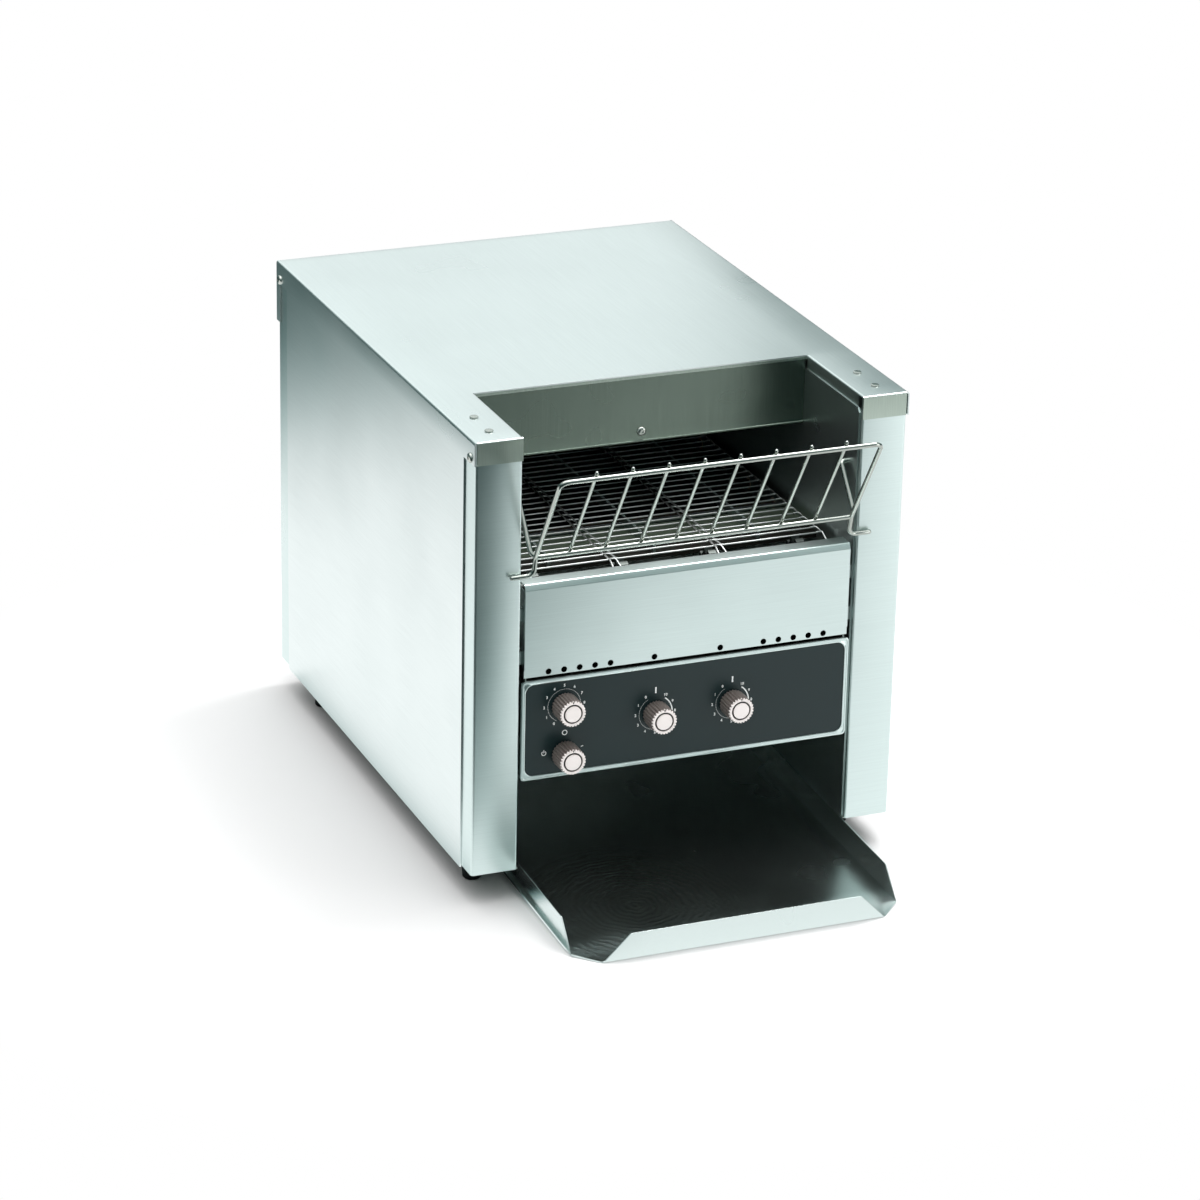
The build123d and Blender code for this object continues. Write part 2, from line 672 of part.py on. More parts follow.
with BuildPart() as power_switch:
    with BuildSketch(facing_front(power_centre[0], frame_back + switch_body[1], power_centre[1])):
        RectangleRounded(switch_body[0], switch_body[0], body_corner)
    extrude(amount=switch_body[1])
    spindle_bore(*power_centre)
save(power_switch, "power_switch")

with BuildPart() as heat_regulators:
    for across, drop in (top_heat_centre, bottom_heat_centre):
        with BuildSketch(facing_front(across, frame_back + regulator_body[1], drop)):
            RectangleRounded(regulator_body[0], regulator_body[0], body_corner)
        extrude(amount=regulator_body[1])
        spindle_bore(across, drop)
save(heat_regulators, "heat_regulators")

# ================================================================ conveyor belt
belt_middle = (nose_shaft_depth + drive_shaft_depth) / 2
shaft_distance = drive_shaft_depth - nose_shaft_depth
row_places = []
for row in range(straight_rows + 1):
    for run in (-1, 1):
        row_places.append((nose_shaft_depth + row * belt_pitch, shaft_drop + run * sprocket_pitch_radius))
for step in range(1, sprocket_teeth // 2):
    turn = 2 * pi * step / sprocket_teeth
    reach, rise = sprocket_pitch_radius * sin(turn), sprocket_pitch_radius * cos(turn)
    row_places.append((nose_shaft_depth - reach, shaft_drop - rise))
    row_places.append((drive_shaft_depth + reach, shaft_drop - rise))

with BuildPart() as conveyor_belt:
    for column in range(belt_lanes + 1):
        middle = -belt_half_width + column * lane_width
        low = max(middle - belt_link[0] / 2, -belt_half_width)
        high = min(middle + belt_link[0] / 2, belt_half_width)
        with BuildSketch(facing_right(low, belt_middle, shaft_drop)):
            SlotCenterToCenter(shaft_distance, 2 * sprocket_pitch_radius + belt_link[1])
            SlotCenterToCenter(shaft_distance, 2 * sprocket_pitch_radius - belt_link[1], mode=Mode.SUBTRACT)
        extrude(amount=high - low)
    with Locations(*[(0, back(depth), below(drop)) for depth, drop in row_places]):
        Cylinder(belt_wire / 2, 2 * (belt_half_width - belt_wire_inset), rotation=(0, 90, 0))
save(conveyor_belt, "conveyor_belt")

with BuildPart() as belt_rails:
    rail_top = belt_drop + belt_wire / 2
    for across in (-lane_width, 0, lane_width):
        block((across - rail_width / 2, across + rail_width / 2), rail_span, (rail_top, deck_drop))
    for depth in (rail_span[1] - rail_bar, deck_span[1] + rail_bar_gap):
        cross_drops = (deck_drop - rail_width, deck_drop)
        block((-wall_inner, wall_inner), (depth, depth + rail_bar), cross_drops)
save(belt_rails, "belt_rails")

with BuildPart() as front_deck:
    block((-wall_inner, wall_inner), deck_span, (deck_drop, deck_drop + inner_sheet))
    lip_depths = (deck_span[0], deck_span[0] + inner_sheet)
    block((-wall_inner, wall_inner), lip_depths, (deck_drop, deck_drop + deck_lip))
save(front_deck, "front_deck")

# ================================================================ shafts, sprockets and bearings
for depth, name, right_end in (
    (nose_shaft_depth, "front", shaft_end),
    (drive_shaft_depth, "drive", chain_across + chain_width),
):
    with BuildPart() as shaft:
        rod(shaft_radius, (-shaft_end, right_end), depth, shaft_drop)
    save(shaft, f"{name}_shaft")

    with BuildPart() as sprockets:
        for across in sprocket_across:
            with BuildSketch(facing_right(across - sprocket_width / 2, depth, shaft_drop)):
                Circle(sprocket_root_radius)
                with PolarLocations(sprocket_tip / 2, sprocket_teeth, 180 / sprocket_teeth):
                    Rectangle(sprocket_tip, sprocket_tooth_width)
                Circle(sprocket_tip, mode=Mode.INTERSECT)
                Circle(shaft_radius, mode=Mode.SUBTRACT)
            extrude(amount=sprocket_width)
    save(sprockets, f"{name}_sprockets")

with BuildPart() as shaft_bearings:
    for depth in (nose_shaft_depth, drive_shaft_depth):
        for side in (-1, 1):
            inner, outer = side * wall_inner, side * wall_outer
            rod(bearing_radius, (inner, outer + side * bearing_length), depth, shaft_drop)
            rod(bearing_flange[0], (outer, outer + side * bearing_flange[1]), depth, shaft_drop)
            bore = (inner - side * cut_margin, outer + side * 2 * bearing_length)
            rod(shaft_radius + running_gap, bore, depth, shaft_drop, Mode.SUBTRACT)
save(shaft_bearings, "shaft_bearings")

# ================================================================ chain drive and gear motor
wheel_solid = chain_wheel_radius - chain_half_height - chain_clearance
pinion_solid = pinion_radius - chain_half_height - chain_clearance

with BuildPart() as chain_wheel:
    with BuildSketch(facing_right(chain_across - chain_wheel_width / 2, drive_shaft_depth, shaft_drop)):
        Circle(wheel_solid)
        Circle(shaft_radius, mode=Mode.SUBTRACT)
        with PolarLocations(chain_wheel_hole[1], chain_wheel_holes):
            Circle(chain_wheel_hole[0], mode=Mode.SUBTRACT)
    extrude(amount=chain_wheel_width)
save(chain_wheel, "chain_wheel")

with BuildPart() as motor_pinion:
    with BuildSketch(facing_right(chain_across - chain_wheel_width / 2, motor_depth, motor_drop)):
        Circle(pinion_solid)
        Circle(motor_shaft_radius, mode=Mode.SUBTRACT)
    extrude(amount=chain_wheel_width)
save(motor_pinion, "motor_pinion")

with BuildPart() as drive_chain:
    for growth, mode in ((chain_half_height, Mode.ADD), (-chain_half_height, Mode.SUBTRACT)):
        with BuildSketch(facing_right(chain_across - chain_width / 2, 0, 0)):
            with Locations((drive_shaft_depth, -shaft_drop)):
                Circle(chain_wheel_radius + growth)
            with Locations((motor_depth, -motor_drop)):
                Circle(pinion_radius + growth)
            make_hull()
        extrude(amount=chain_width, mode=mode)
save(drive_chain, "drive_chain")

with BuildPart() as gear_motor:
    box_x = (gearbox_right - gearbox[0], gearbox_right)
    box_depths = (motor_depth - gearbox[1] / 2, motor_depth + gearbox[1] / 2)
    block(box_x, box_depths, (motor_drop - gearbox[2] / 2, motor_drop + gearbox[2] / 2))
    fillet(gear_motor.edges().filter_by(Axis.X), gearbox_corner)
    rod(motor_can[0], (motor_left, box_x[0]), motor_depth, motor_drop)
    bore = (gearbox_right - gearbox[0] / 2, gearbox_right + cut_margin)
    rod(motor_shaft_radius + running_gap, bore, motor_depth, motor_drop, Mode.SUBTRACT)
save(gear_motor, "gear_motor")

with BuildPart() as motor_shaft:
    bore_end = gearbox_right - gearbox[0] / 2 + motor_shaft_end_gap
    rod(motor_shaft_radius, (bore_end, chain_across + chain_width), motor_depth, motor_drop)
save(motor_shaft, "motor_shaft")

with BuildPart() as motor_bracket:
    seat = motor_drop + gearbox[2] / 2
    block(box_x, box_depths, (seat, seat + motor_seat_sheet))
    for edge, inward in zip(box_depths, (1, -1)):
        leg = (edge, edge + inward * motor_seat_sheet)
        block(box_x, leg, (seat + motor_seat_sheet, pan_drop))
save(motor_bracket, "motor_bracket")

# ================================================================ heating
for name, depths, drop in (
    ("upper_heaters", upper_heater_depths, upper_heater_drop),
    ("lower_heaters", lower_heater_depths, lower_heater_drop),
):
    with BuildPart() as heaters:
        for depth in depths:
            rod(heater_radius, (-heater_end, heater_end), depth, drop)
    save(heaters, name)

with BuildPart() as heater_insulators:
    heater_places = [(d, upper_heater_drop) for d in upper_heater_depths]
    heater_places += [(d, lower_heater_drop) for d in lower_heater_depths]
    for depth, drop in heater_places:
        for side in (-1, 1):
            inner, outer = side * wall_inner, side * (wall_inner + insulator_length)
            rod(insulator_radius, (inner, outer), depth, drop)
            reach = (inner - side * cut_margin, outer + side * cut_margin)
            rod(heater_radius, reach, depth, drop, Mode.SUBTRACT)
save(heater_insulators, "heater_insulators")

with BuildPart() as upper_reflector:
    across = (-wall_inner, wall_inner)
    lip_drops = (upper_reflector_drop, upper_reflector_drop + upper_reflector_lip)
    block(across, upper_reflector_span, (upper_reflector_drop, upper_reflector_drop + inner_sheet))
    for edge, inward in zip(upper_reflector_span, (1, -1)):
        block(across, (edge, edge + inward * inner_sheet), lip_drops)
save(upper_reflector, "upper_reflector")

with BuildPart() as top_insulation:
    slab_x = (-wall_inner + insulation_gaps[0], wall_inner - insulation_gaps[0])
    slab_front = upper_reflector_span[0] + insulation_gaps[1]
    slab_depths = (slab_front, upper_reflector_span[1] - insulation_gaps[1])
    block(slab_x, slab_depths, (upper_reflector_drop - insulation_thickness, upper_reflector_drop))
    fillet(top_insulation.edges().filter_by(Axis.Z), insulation_corner)
save(top_insulation, "top_insulation")

with BuildPart() as lower_reflector:
    across = (-wall_inner, wall_inner)
    block(across, lower_reflector_span, (lower_reflector_drop, lower_reflector_drop + inner_sheet))
save(lower_reflector, "lower_reflector")

# ================================================================ return chute
with BuildPart() as return_chute:
    with BuildSketch(facing_right(-wall_inner, 0, 0)):
        with BuildLine() as chute_line:
            FilletPolyline(
                (chute_depth, -chute_top_drop),
                (chute_depth, -chute_bend_drop),
                (chute_end_depth, -chute_end_drop),
                radius=chute_bend,
            )
            offset(amount=inner_sheet, side=Side.RIGHT)
        make_face()
    extrude(amount=2 * wall_inner)
save(return_chute, "return_chute")

# ================================================================ collection tray
tray_plane = Plane(
    origin=(0, back(-tray_reach), 0),
    x_dir=(1, 0, 0),
    z_dir=(0, -sin(slope), cos(slope)),
)
tray_length = (tray_reach + tray_rear) / cos(slope)
flange_plane = Plane(origin=tray_plane.origin, x_dir=tray_plane.y_dir, z_dir=(1, 0, 0))
lip_plane = Plane(origin=tray_plane.origin, x_dir=(1, 0, 0), z_dir=-tray_plane.y_dir)

with BuildPart() as collection_tray:
    with BuildSketch(tray_plane):
        with BuildLine():
            Polyline(
                (-tray_half_width, tray_length),
                (-tray_half_width, tray_corner),
                (-tray_half_width + tray_corner, 0),
                (tray_half_width - tray_corner, 0),
                (tray_half_width, tray_corner),
                (tray_half_width, tray_length),
                close=True,
            )
        make_face()
    extrude(amount=inner_sheet)
    for side, inward in ((-1, 0), (1, -inner_sheet)):
        with BuildSketch(flange_plane.offset(side * tray_half_width + inward)):
            with BuildLine():
                Polyline(
                    (tray_corner, 0),
                    (tray_corner + tray_mitre, tray_flange),
                    (tray_length, tray_flange),
                    (tray_length, 0),
                    close=True,
                )
            make_face()
            hole = (tray_corner + tray_mitre + tray_hole_inset[0], tray_flange - tray_hole_inset[1])
            with Locations(hole):
                Circle(tray_hole_radius, mode=Mode.SUBTRACT)
        extrude(amount=inner_sheet)
    with BuildSketch(lip_plane):
        with BuildLine():
            Polyline(
                (-tray_half_width + tray_corner, 0),
                (-tray_half_width + tray_corner + tray_mitre, tray_lip),
                (tray_half_width - tray_corner - tray_mitre, tray_lip),
                (tray_half_width - tray_corner, 0),
                close=True,
            )
        make_face()
    extrude(amount=-inner_sheet)
save(collection_tray, "collection_tray")


# ================================================================ loading rack
def rack_point(across, place):
    """A point of the rack from its place across and its (depth, drop)."""
    return (across, back(place[0]), below(place[1]))


def both_halves(points):
    """The points of the left half followed by those of the right half."""
    return points + [(-x, y, z) for x, y, z in reversed(points)]


frame_half = [
    rack_point(-rack_hook_end, rack_hook),
    rack_point(-rack_half_width, rack_hook),
    rack_point(-rack_half_width, rack_bottom),
    rack_point(-rack_half_width, rack_top),
]
base_half = [
    rack_point(-rack_tip_end, rack_pivot),
    rack_point(-rack_leg_half_width, rack_pivot),
    rack_point(-rack_leg_half_width, rack_bottom),
]
frame_radii = [rack_bend, rack_knee, rack_bend]
base_radii = [rack_bend / 2, rack_bend]
with BuildPart() as rack_frame:
    for half, radii in ((frame_half, frame_radii), (base_half, base_radii)):
        with BuildLine() as route:
            FilletPolyline(*both_halves(half), radius=radii + radii[::-1])
        path = route.wires()[0]
        with BuildSketch(Plane(origin=path @ 0, z_dir=path % 0)):
            Circle(rack_wire / 2)
        sweep(path=path)
save(rack_frame, "rack_frame")

rack_back = rack_bottom[0] - rack_top[0]
rack_fall = rack_bottom[1] - rack_top[1]
rack_length = (rack_back**2 + rack_fall**2) ** 0.5
bar_offset = (rack_wire + rack_bar) / 2 - weld_sink
with BuildPart() as rack_bars:
    bar_length = rack_length + rack_bar_over + rack_bar_under
    rack_plane = Plane(
        origin=rack_point(0, rack_bottom),
        x_dir=(1, 0, 0),
        z_dir=(0, -rack_back / rack_length, rack_fall / rack_length),
    )
    for index in range(rack_bar_count):
        across = (index - (rack_bar_count - 1) / 2) * rack_bar_pitch
        with BuildSketch(rack_plane.offset(-rack_bar_under)):
            with Locations((across, bar_offset)):
                Circle(rack_bar / 2)
        extrude(amount=bar_length)
    fillet(rack_bars.edges().filter_by(GeomType.CIRCLE).group_by(Axis.Z)[-1], rack_bar_round)
save(rack_bars, "rack_bars")

# ================================================================ back panel
with BuildPart() as back_panel:
    block((-post_outer, post_outer), (back_inner, back_outer), (2 * shell_sheet, floor_drop))
    with Locations(facing_front(fan_place[0], back_inner, fan_place[1])):
        Cylinder(fan_bore_radius, 8 * shell_sheet, mode=Mode.SUBTRACT)
    with Locations(facing_front(gland_place[0], back_inner, gland_place[1])):
        Cylinder(gland_thread_radius, 8 * shell_sheet, mode=Mode.SUBTRACT)
    louvre_middle = louvre_top_drop + louvre_rows * louvre_pitch / 2
    with BuildSketch(facing_front(0, back_outer, louvre_middle)):
        with GridLocations(2 * louvre_across, louvre_pitch, 2, louvre_rows):
            SlotOverall(*louvre)
    extrude(amount=2 * shell_sheet, mode=Mode.SUBTRACT)
save(back_panel, "back_panel")

# ================================================================ cooling fan
fan_front = back_inner - fan_thickness
rotor_rear = back_inner - fan_rotor_gap
rotor_length = fan_thickness - 2 * fan_spider[1]
with BuildPart() as fan_frame:
    with BuildSketch(facing_front(fan_place[0], back_inner, fan_place[1])):
        RectangleRounded(fan_size, fan_size, fan_corner)
        Circle(fan_bore_radius, mode=Mode.SUBTRACT)
    extrude(amount=fan_thickness)
    with BuildSketch(facing_front(fan_place[0], fan_front + fan_spider[1], fan_place[1])):
        Circle(fan_hub_radius)
        with PolarLocations((fan_bore_radius + fan_spider[0]) / 2, 4, 45):
            Rectangle(fan_bore_radius, fan_spider[0])
    extrude(amount=fan_spider[1])
    with BuildSketch(facing_front(fan_place[0], back_inner - fan_spider[1], fan_place[1])):
        Circle(fan_axle_radius)
    extrude(amount=rotor_length)
save(fan_frame, "fan_frame")

with BuildPart() as fan_rotor:
    with BuildSketch(facing_front(fan_place[0], rotor_rear, fan_place[1])):
        Circle(fan_hub_radius)
    extrude(amount=rotor_length)
    blade_root = fan_hub_radius - fan_blade_root
    blade_reach = fan_tip_radius - blade_root
    with Locations(facing_front(fan_place[0], rotor_rear - rotor_length / 2, fan_place[1])):
        with PolarLocations(blade_root + blade_reach / 2, fan_blades):
            Box(blade_reach, fan_blade_thickness, fan_blade_length, rotation=(fan_blade_pitch, 0, 0))
    with Locations(facing_front(fan_place[0], fan_front, fan_place[1])):
        Cylinder(fan_axle_radius + running_gap, 4 * fan_thickness, mode=Mode.SUBTRACT)
save(fan_rotor, "fan_rotor")

with BuildPart() as fan_guard:
    guard_plane = facing_front(fan_place[0], back_outer + guard_standoff, fan_place[1])
    with Locations(guard_plane):
        for radius in guard_ring_radii:
            Torus(radius, guard_wire_radius)
        with PolarLocations(0, 2, 45, 180):
            Box(2 * guard_ring_radii[-1], guard_arm_width, guard_wire_radius)
        with PolarLocations(guard_ring_radii[-1], 4, 45):
            Cylinder(*guard_foot)
save(fan_guard, "fan_guard")

# ================================================================ cable gland and terminal block
with BuildPart() as cable_gland:
    gland_plane = facing_front(gland_place[0], back_outer + gland_out, gland_place[1])
    with BuildSketch(gland_plane):
        Circle(gland_cap_radius)
    extrude(amount=gland_out / 2)
    with BuildSketch(facing_front(gland_place[0], back_outer + gland_out / 2, gland_place[1])):
        RegularPolygon(gland_hex_radius, 6)
    extrude(amount=gland_out / 2)
    with BuildSketch(facing_front(gland_place[0], back_outer, gland_place[1])):
        Circle(gland_thread_radius)
    extrude(amount=shell_sheet)
    with BuildSketch(facing_front(gland_place[0], back_inner, gland_place[1])):
        RegularPolygon(gland_hex_radius, 6)
    extrude(amount=gland_in)
    with BuildSketch(gland_plane):
        Circle(gland_bore_radius)
    extrude(amount=gland_out + shell_sheet + gland_in, mode=Mode.SUBTRACT)
save(cable_gland, "cable_gland")

with BuildPart() as terminal_block:
    half = (terminal_size[0] / 2, terminal_size[1] / 2)
    block_x = (terminal_place[0] - half[0], terminal_place[0] + half[0])
    block_depths = (terminal_place[1] - half[1], terminal_place[1] + half[1])
    block(block_x, block_depths, (pan_drop - terminal_size[2], pan_drop))
    with Locations((terminal_place[0], back(terminal_place[1]), below(pan_drop - terminal_size[2]))):
        with GridLocations(terminal_size[0] / 4, terminal_size[1] / 2, 4, 2):
            Cylinder(terminal_hole_radius, terminal_size[2] / 2, mode=Mode.SUBTRACT)
save(terminal_block, "terminal_block")
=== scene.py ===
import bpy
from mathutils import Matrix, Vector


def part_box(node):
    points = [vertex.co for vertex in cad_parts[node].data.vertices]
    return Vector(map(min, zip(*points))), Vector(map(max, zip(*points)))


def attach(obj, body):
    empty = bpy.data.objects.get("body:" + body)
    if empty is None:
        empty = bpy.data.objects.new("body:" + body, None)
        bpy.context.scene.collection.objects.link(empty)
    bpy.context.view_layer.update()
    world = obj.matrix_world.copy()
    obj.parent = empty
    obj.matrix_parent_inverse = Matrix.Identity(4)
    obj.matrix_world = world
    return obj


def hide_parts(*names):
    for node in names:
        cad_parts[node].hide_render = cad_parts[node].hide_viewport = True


bl_info = {
    "name": "Conveyor toaster",
    "version": (1, 0, 0),
    "blender": (4, 5, 0),
    "location": "3D View > Sidebar > Toaster",
    "description": "Builds the sheet metal, wirework, controls and finishes of a conveyor toaster",
    "category": "Object",
}

import bmesh
import bpy
import numpy as np
from mathutils import Matrix, Vector

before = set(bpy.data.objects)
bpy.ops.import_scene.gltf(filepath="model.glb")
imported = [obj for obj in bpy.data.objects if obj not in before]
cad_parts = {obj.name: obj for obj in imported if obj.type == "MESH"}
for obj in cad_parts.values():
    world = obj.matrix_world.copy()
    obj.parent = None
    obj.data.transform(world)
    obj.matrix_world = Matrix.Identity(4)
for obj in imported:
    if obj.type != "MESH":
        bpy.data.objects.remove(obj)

MM = 0.001
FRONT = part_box("outer_shell")[0].y
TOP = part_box("outer_shell")[1].z

# Places are given as a machine builder would: millimetres across from the middle, back from the front
# plane (depth) and down from the top (drop).


def in_row(points):
    """Metres in the row frame from millimetres across, depth and drop."""
    points = np.asarray(points, float)
    return np.stack([points[..., 0] * MM, FRONT + points[..., 1] * MM, TOP - points[..., 2] * MM], -1)


def span(node, axis):
    """Both ends of a CAD node in millimetres: axis 0 across, 1 depth, 2 drop."""
    low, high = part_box(node)
    ends = ((low.x, high.x), (low.y - FRONT, high.y - FRONT), (TOP - high.z, TOP - low.z))[axis]
    return ends[0] / MM, ends[1] / MM


def middle(node):
    """Middle of a CAD node's box, in millimetres across, depth and drop."""
    return np.array([sum(span(node, axis)) / 2 for axis in range(3)])


HALF_WIDTH = span("outer_shell", 0)[1]
REAR = span("outer_shell", 1)[1]
SIDE_LOW = span("outer_shell", 2)[1]
NOTCH = span("right_inner_wall", 0)[1]
WALL = span("right_inner_wall", 0)[0]
# The splash panel's top flange runs this far back under the shell from the notch's rear edge.
SPLASH_FLANGE = 13.0
NOTCH_REAR = span("splash_panel", 1)[1] - SPLASH_FLANGE
# The posts stand this far inside the shell's outer face: its sheet and a little air.
SHELL_SKIN = 1.6


# ================================================================ colours and nodes
def linear(code):
    """Linear RGBA from an sRGB hex code such as #C8D2D0."""
    values = np.array([int(code[i : i + 2], 16) for i in (1, 3, 5)]) / 255
    low = values / 12.92
    high = ((values + 0.055) / 1.055) ** 2.4
    return (*np.where(values <= 0.04045, low, high), 1.0)


def add_node(tree, kind, settings=None, links=None):
    """Adds a node; settings are attributes or socket values by name, links are sockets by name."""
    node = tree.nodes.new(kind)
    for name, value in (settings or {}).items():
        if isinstance(name, int) or name in node.inputs:
            node.inputs[name].default_value = value
        else:
            setattr(node, name, value)
    for name, source in (links or {}).items():
        tree.links.new(source, node.inputs[name])
    return node


def new_material(name):
    """An empty node material with its output, ready for a shader."""
    material = bpy.data.materials.new(name)
    material.use_nodes = True
    material.node_tree.nodes.clear()
    return material, material.node_tree


def finish_material(tree, shader):
    """Joins a shader to the material's output."""
    add_node(tree, "ShaderNodeOutputMaterial", links={"Surface": shader.outputs[0]})


def place_of(tree, scale):
    """Object coordinates stretched by a scale per axis, in cycles per metre."""
    place = add_node(tree, "ShaderNodeTexCoord")
    return add_node(tree, "ShaderNodeMapping", {"Scale": scale}, {"Vector": place.outputs["Object"]})


def fade(tree, value, start, end, first, last):
    """A smooth change from first to last while a value goes from start to end."""
    limits = {"From Min": start, "From Max": end, "To Min": first, "To Max": last}
    return add_node(
        tree, "ShaderNodeMapRange", {"interpolation_type": "SMOOTHSTEP", **limits}, {"Value": value}
    )


# How a sheet's grain lies: cycles per metre along each axis, with scratches 0.9 mm apart that run some
# 70 mm, and an axis that is square to both the grain and the faces' normals.
SCRATCH, RUN = 1 / (0.9 * MM), 1 / (70 * MM)
GRAINS = {
    "back": ((SCRATCH, RUN, SCRATCH), (1.0, 0.0, 0.02)),
    "level": ((RUN, RUN, SCRATCH), (0.0, 0.02, 1.0)),
    "upright": ((SCRATCH, SCRATCH, RUN), (1.0, 0.02, 0.0)),
}


# Middle of the tray's wiping arcs in metres, and the distances between which they die out.
WIPE_CENTRE, WIPE_REACH = (-0.08, -0.30, 0), (0.05, 0.15)


def brushed_steel(
    name,
    colour,
    grain,
    roughness,
    tone=0.08,
    depth=0.012,
    anisotropy=0.6,
    smear=0.0,
    clean=1.0,
    wiped=False,
):
    """Stainless sheet finished with an abrasive belt: satin, with fine scratches along its grain that
    change its tone and spread highlights square to them, and a slow drift where the sheet was handled.
    Where it isn't clean, a thin dull layer dims it. A wiped sheet also has faint arcs left by cloths."""
    material, tree = new_material(name)
    scale, square = GRAINS[grain]
    scratches = add_node(
        tree,
        "ShaderNodeTexNoise",
        {"Scale": 1.0, "Detail": 4.0, "Roughness": 0.7},
        {"Vector": place_of(tree, scale).outputs[0]},
    )
    drift = add_node(
        tree,
        "ShaderNodeTexNoise",
        {"Scale": 1.0, "Detail": 2.0},
        {"Vector": place_of(tree, (9, 9, 9)).outputs[0]},
    )
    dark = tuple(c * (1 - tone) for c in linear(colour)[:3]) + (1.0,)
    spread = add_node(
        tree, "ShaderNodeMapRange", {"From Min": 0.3, "From Max": 0.7}, {"Value": scratches.outputs["Fac"]}
    )
    tint = add_node(
        tree, "ShaderNodeMix", {"data_type": "RGBA", 6: dark, 7: linear(colour)}, {0: spread.outputs[0]}
    )
    gloss = add_node(
        tree,
        "ShaderNodeMapRange",
        {"To Min": roughness - 0.06 - smear, "To Max": roughness + 0.06 + smear},
        {"Value": drift.outputs["Fac"]},
    )
    bump = add_node(
        tree,
        "ShaderNodeBump",
        {"Strength": 0.35, "Distance": depth * MM},
        {"Height": scratches.outputs["Fac"]},
    )
    if wiped:
        bump = wiped_arcs(tree, bump)
    face = add_node(tree, "ShaderNodeNewGeometry")
    streak = add_node(
        tree,
        "ShaderNodeVectorMath",
        {"operation": "CROSS_PRODUCT", 1: square},
        {0: face.outputs["True Normal"]},
    )
    shader = add_node(
        tree,
        "ShaderNodeBsdfPrincipled",
        {"Metallic": clean, "Anisotropic": anisotropy, "Anisotropic Rotation": 0.25},
        {
            "Base Color": tint.outputs[2],
            "Roughness": gloss.outputs[0],
            "Normal": bump.outputs[0],
            "Tangent": streak.outputs[0],
        },
    )
    finish_material(tree, shader)
    return material


def wiped_arcs(tree, bump):
    """Arcs of faint relief round the place a cloth turns about, over another relief; they die out with
    distance from it."""
    place = add_node(tree, "ShaderNodeTexCoord")
    moved = add_node(
        tree,
        "ShaderNodeVectorMath",
        {"operation": "SUBTRACT", 1: WIPE_CENTRE},
        {0: place.outputs["Object"]},
    )
    rings = {"wave_type": "RINGS", "rings_direction": "Z"}
    spacing = {"Scale": 42.0, "Distortion": 6.0, "Detail Scale": 1.5}
    arcs = add_node(tree, "ShaderNodeTexWave", {**rings, **spacing}, {"Vector": moved.outputs[0]})
    reach = add_node(tree, "ShaderNodeVectorMath", {"operation": "LENGTH"}, {0: moved.outputs[0]})
    near, far = WIPE_REACH
    rubbed = fade(tree, reach.outputs[1], near, far, 0.4, 0.0)
    return add_node(
        tree,
        "ShaderNodeBump",
        {"Distance": 0.3 * MM},
        {"Strength": rubbed.outputs[0], "Height": arcs.outputs["Fac"], "Normal": bump.outputs[0]},
    )


def plain_metal(
    name, colour, roughness, grit_mm=0.6, tone=0.12, metallic=1.0, bump=0.02, painted_shade_band=None
):
    """Drawn, turned or plated metal: an even finish with a fine mottled tone and faint tool marks. With a
    painted shade band, the metal is painted very dark up to the first depth in metres along Y, and keeps its
    own colour from the second."""
    material, tree = new_material(name)
    grit = 1 / (grit_mm * MM)
    noise = add_node(
        tree,
        "ShaderNodeTexNoise",
        {"Scale": 1.0, "Detail": 3.0},
        {"Vector": place_of(tree, (grit, grit, grit)).outputs[0]},
    )
    dark = tuple(c * (1 - tone) for c in linear(colour)[:3]) + (1.0,)
    tint = add_node(
        tree,
        "ShaderNodeMix",
        {"data_type": "RGBA", 6: dark, 7: linear(colour)},
        {0: noise.outputs["Fac"]},
    )
    if painted_shade_band:
        # Painted shade: very dark up to the band's first depth along Y, fading to the metal's own colour by
        # its second.
        place = add_node(tree, "ShaderNodeTexCoord")
        depth = add_node(tree, "ShaderNodeSeparateXYZ", None, {"Vector": place.outputs["Object"]})
        painted_shade_ramp = fade(tree, depth.outputs["Y"], painted_shade_band[0], painted_shade_band[1], 0.0, 1.0)
        black = {"data_type": "RGBA", 6: linear("#17170F")}
        tint = add_node(tree, "ShaderNodeMix", black, {0: painted_shade_ramp.outputs[0], 7: tint.outputs[2]})
    gloss = add_node(
        tree,
        "ShaderNodeMapRange",
        {"To Min": max(roughness - 0.05, 0.03), "To Max": roughness + 0.05},
        {"Value": noise.outputs["Fac"]},
    )
    relief = add_node(
        tree,
        "ShaderNodeBump",
        {"Strength": 0.3, "Distance": bump * MM},
        {"Height": noise.outputs["Fac"]},
    )
    shader = add_node(
        tree,
        "ShaderNodeBsdfPrincipled",
        {"Metallic": metallic},
        {"Base Color": tint.outputs[2], "Roughness": gloss.outputs[0], "Normal": relief.outputs[0]},
    )
    finish_material(tree, shader)
    return material


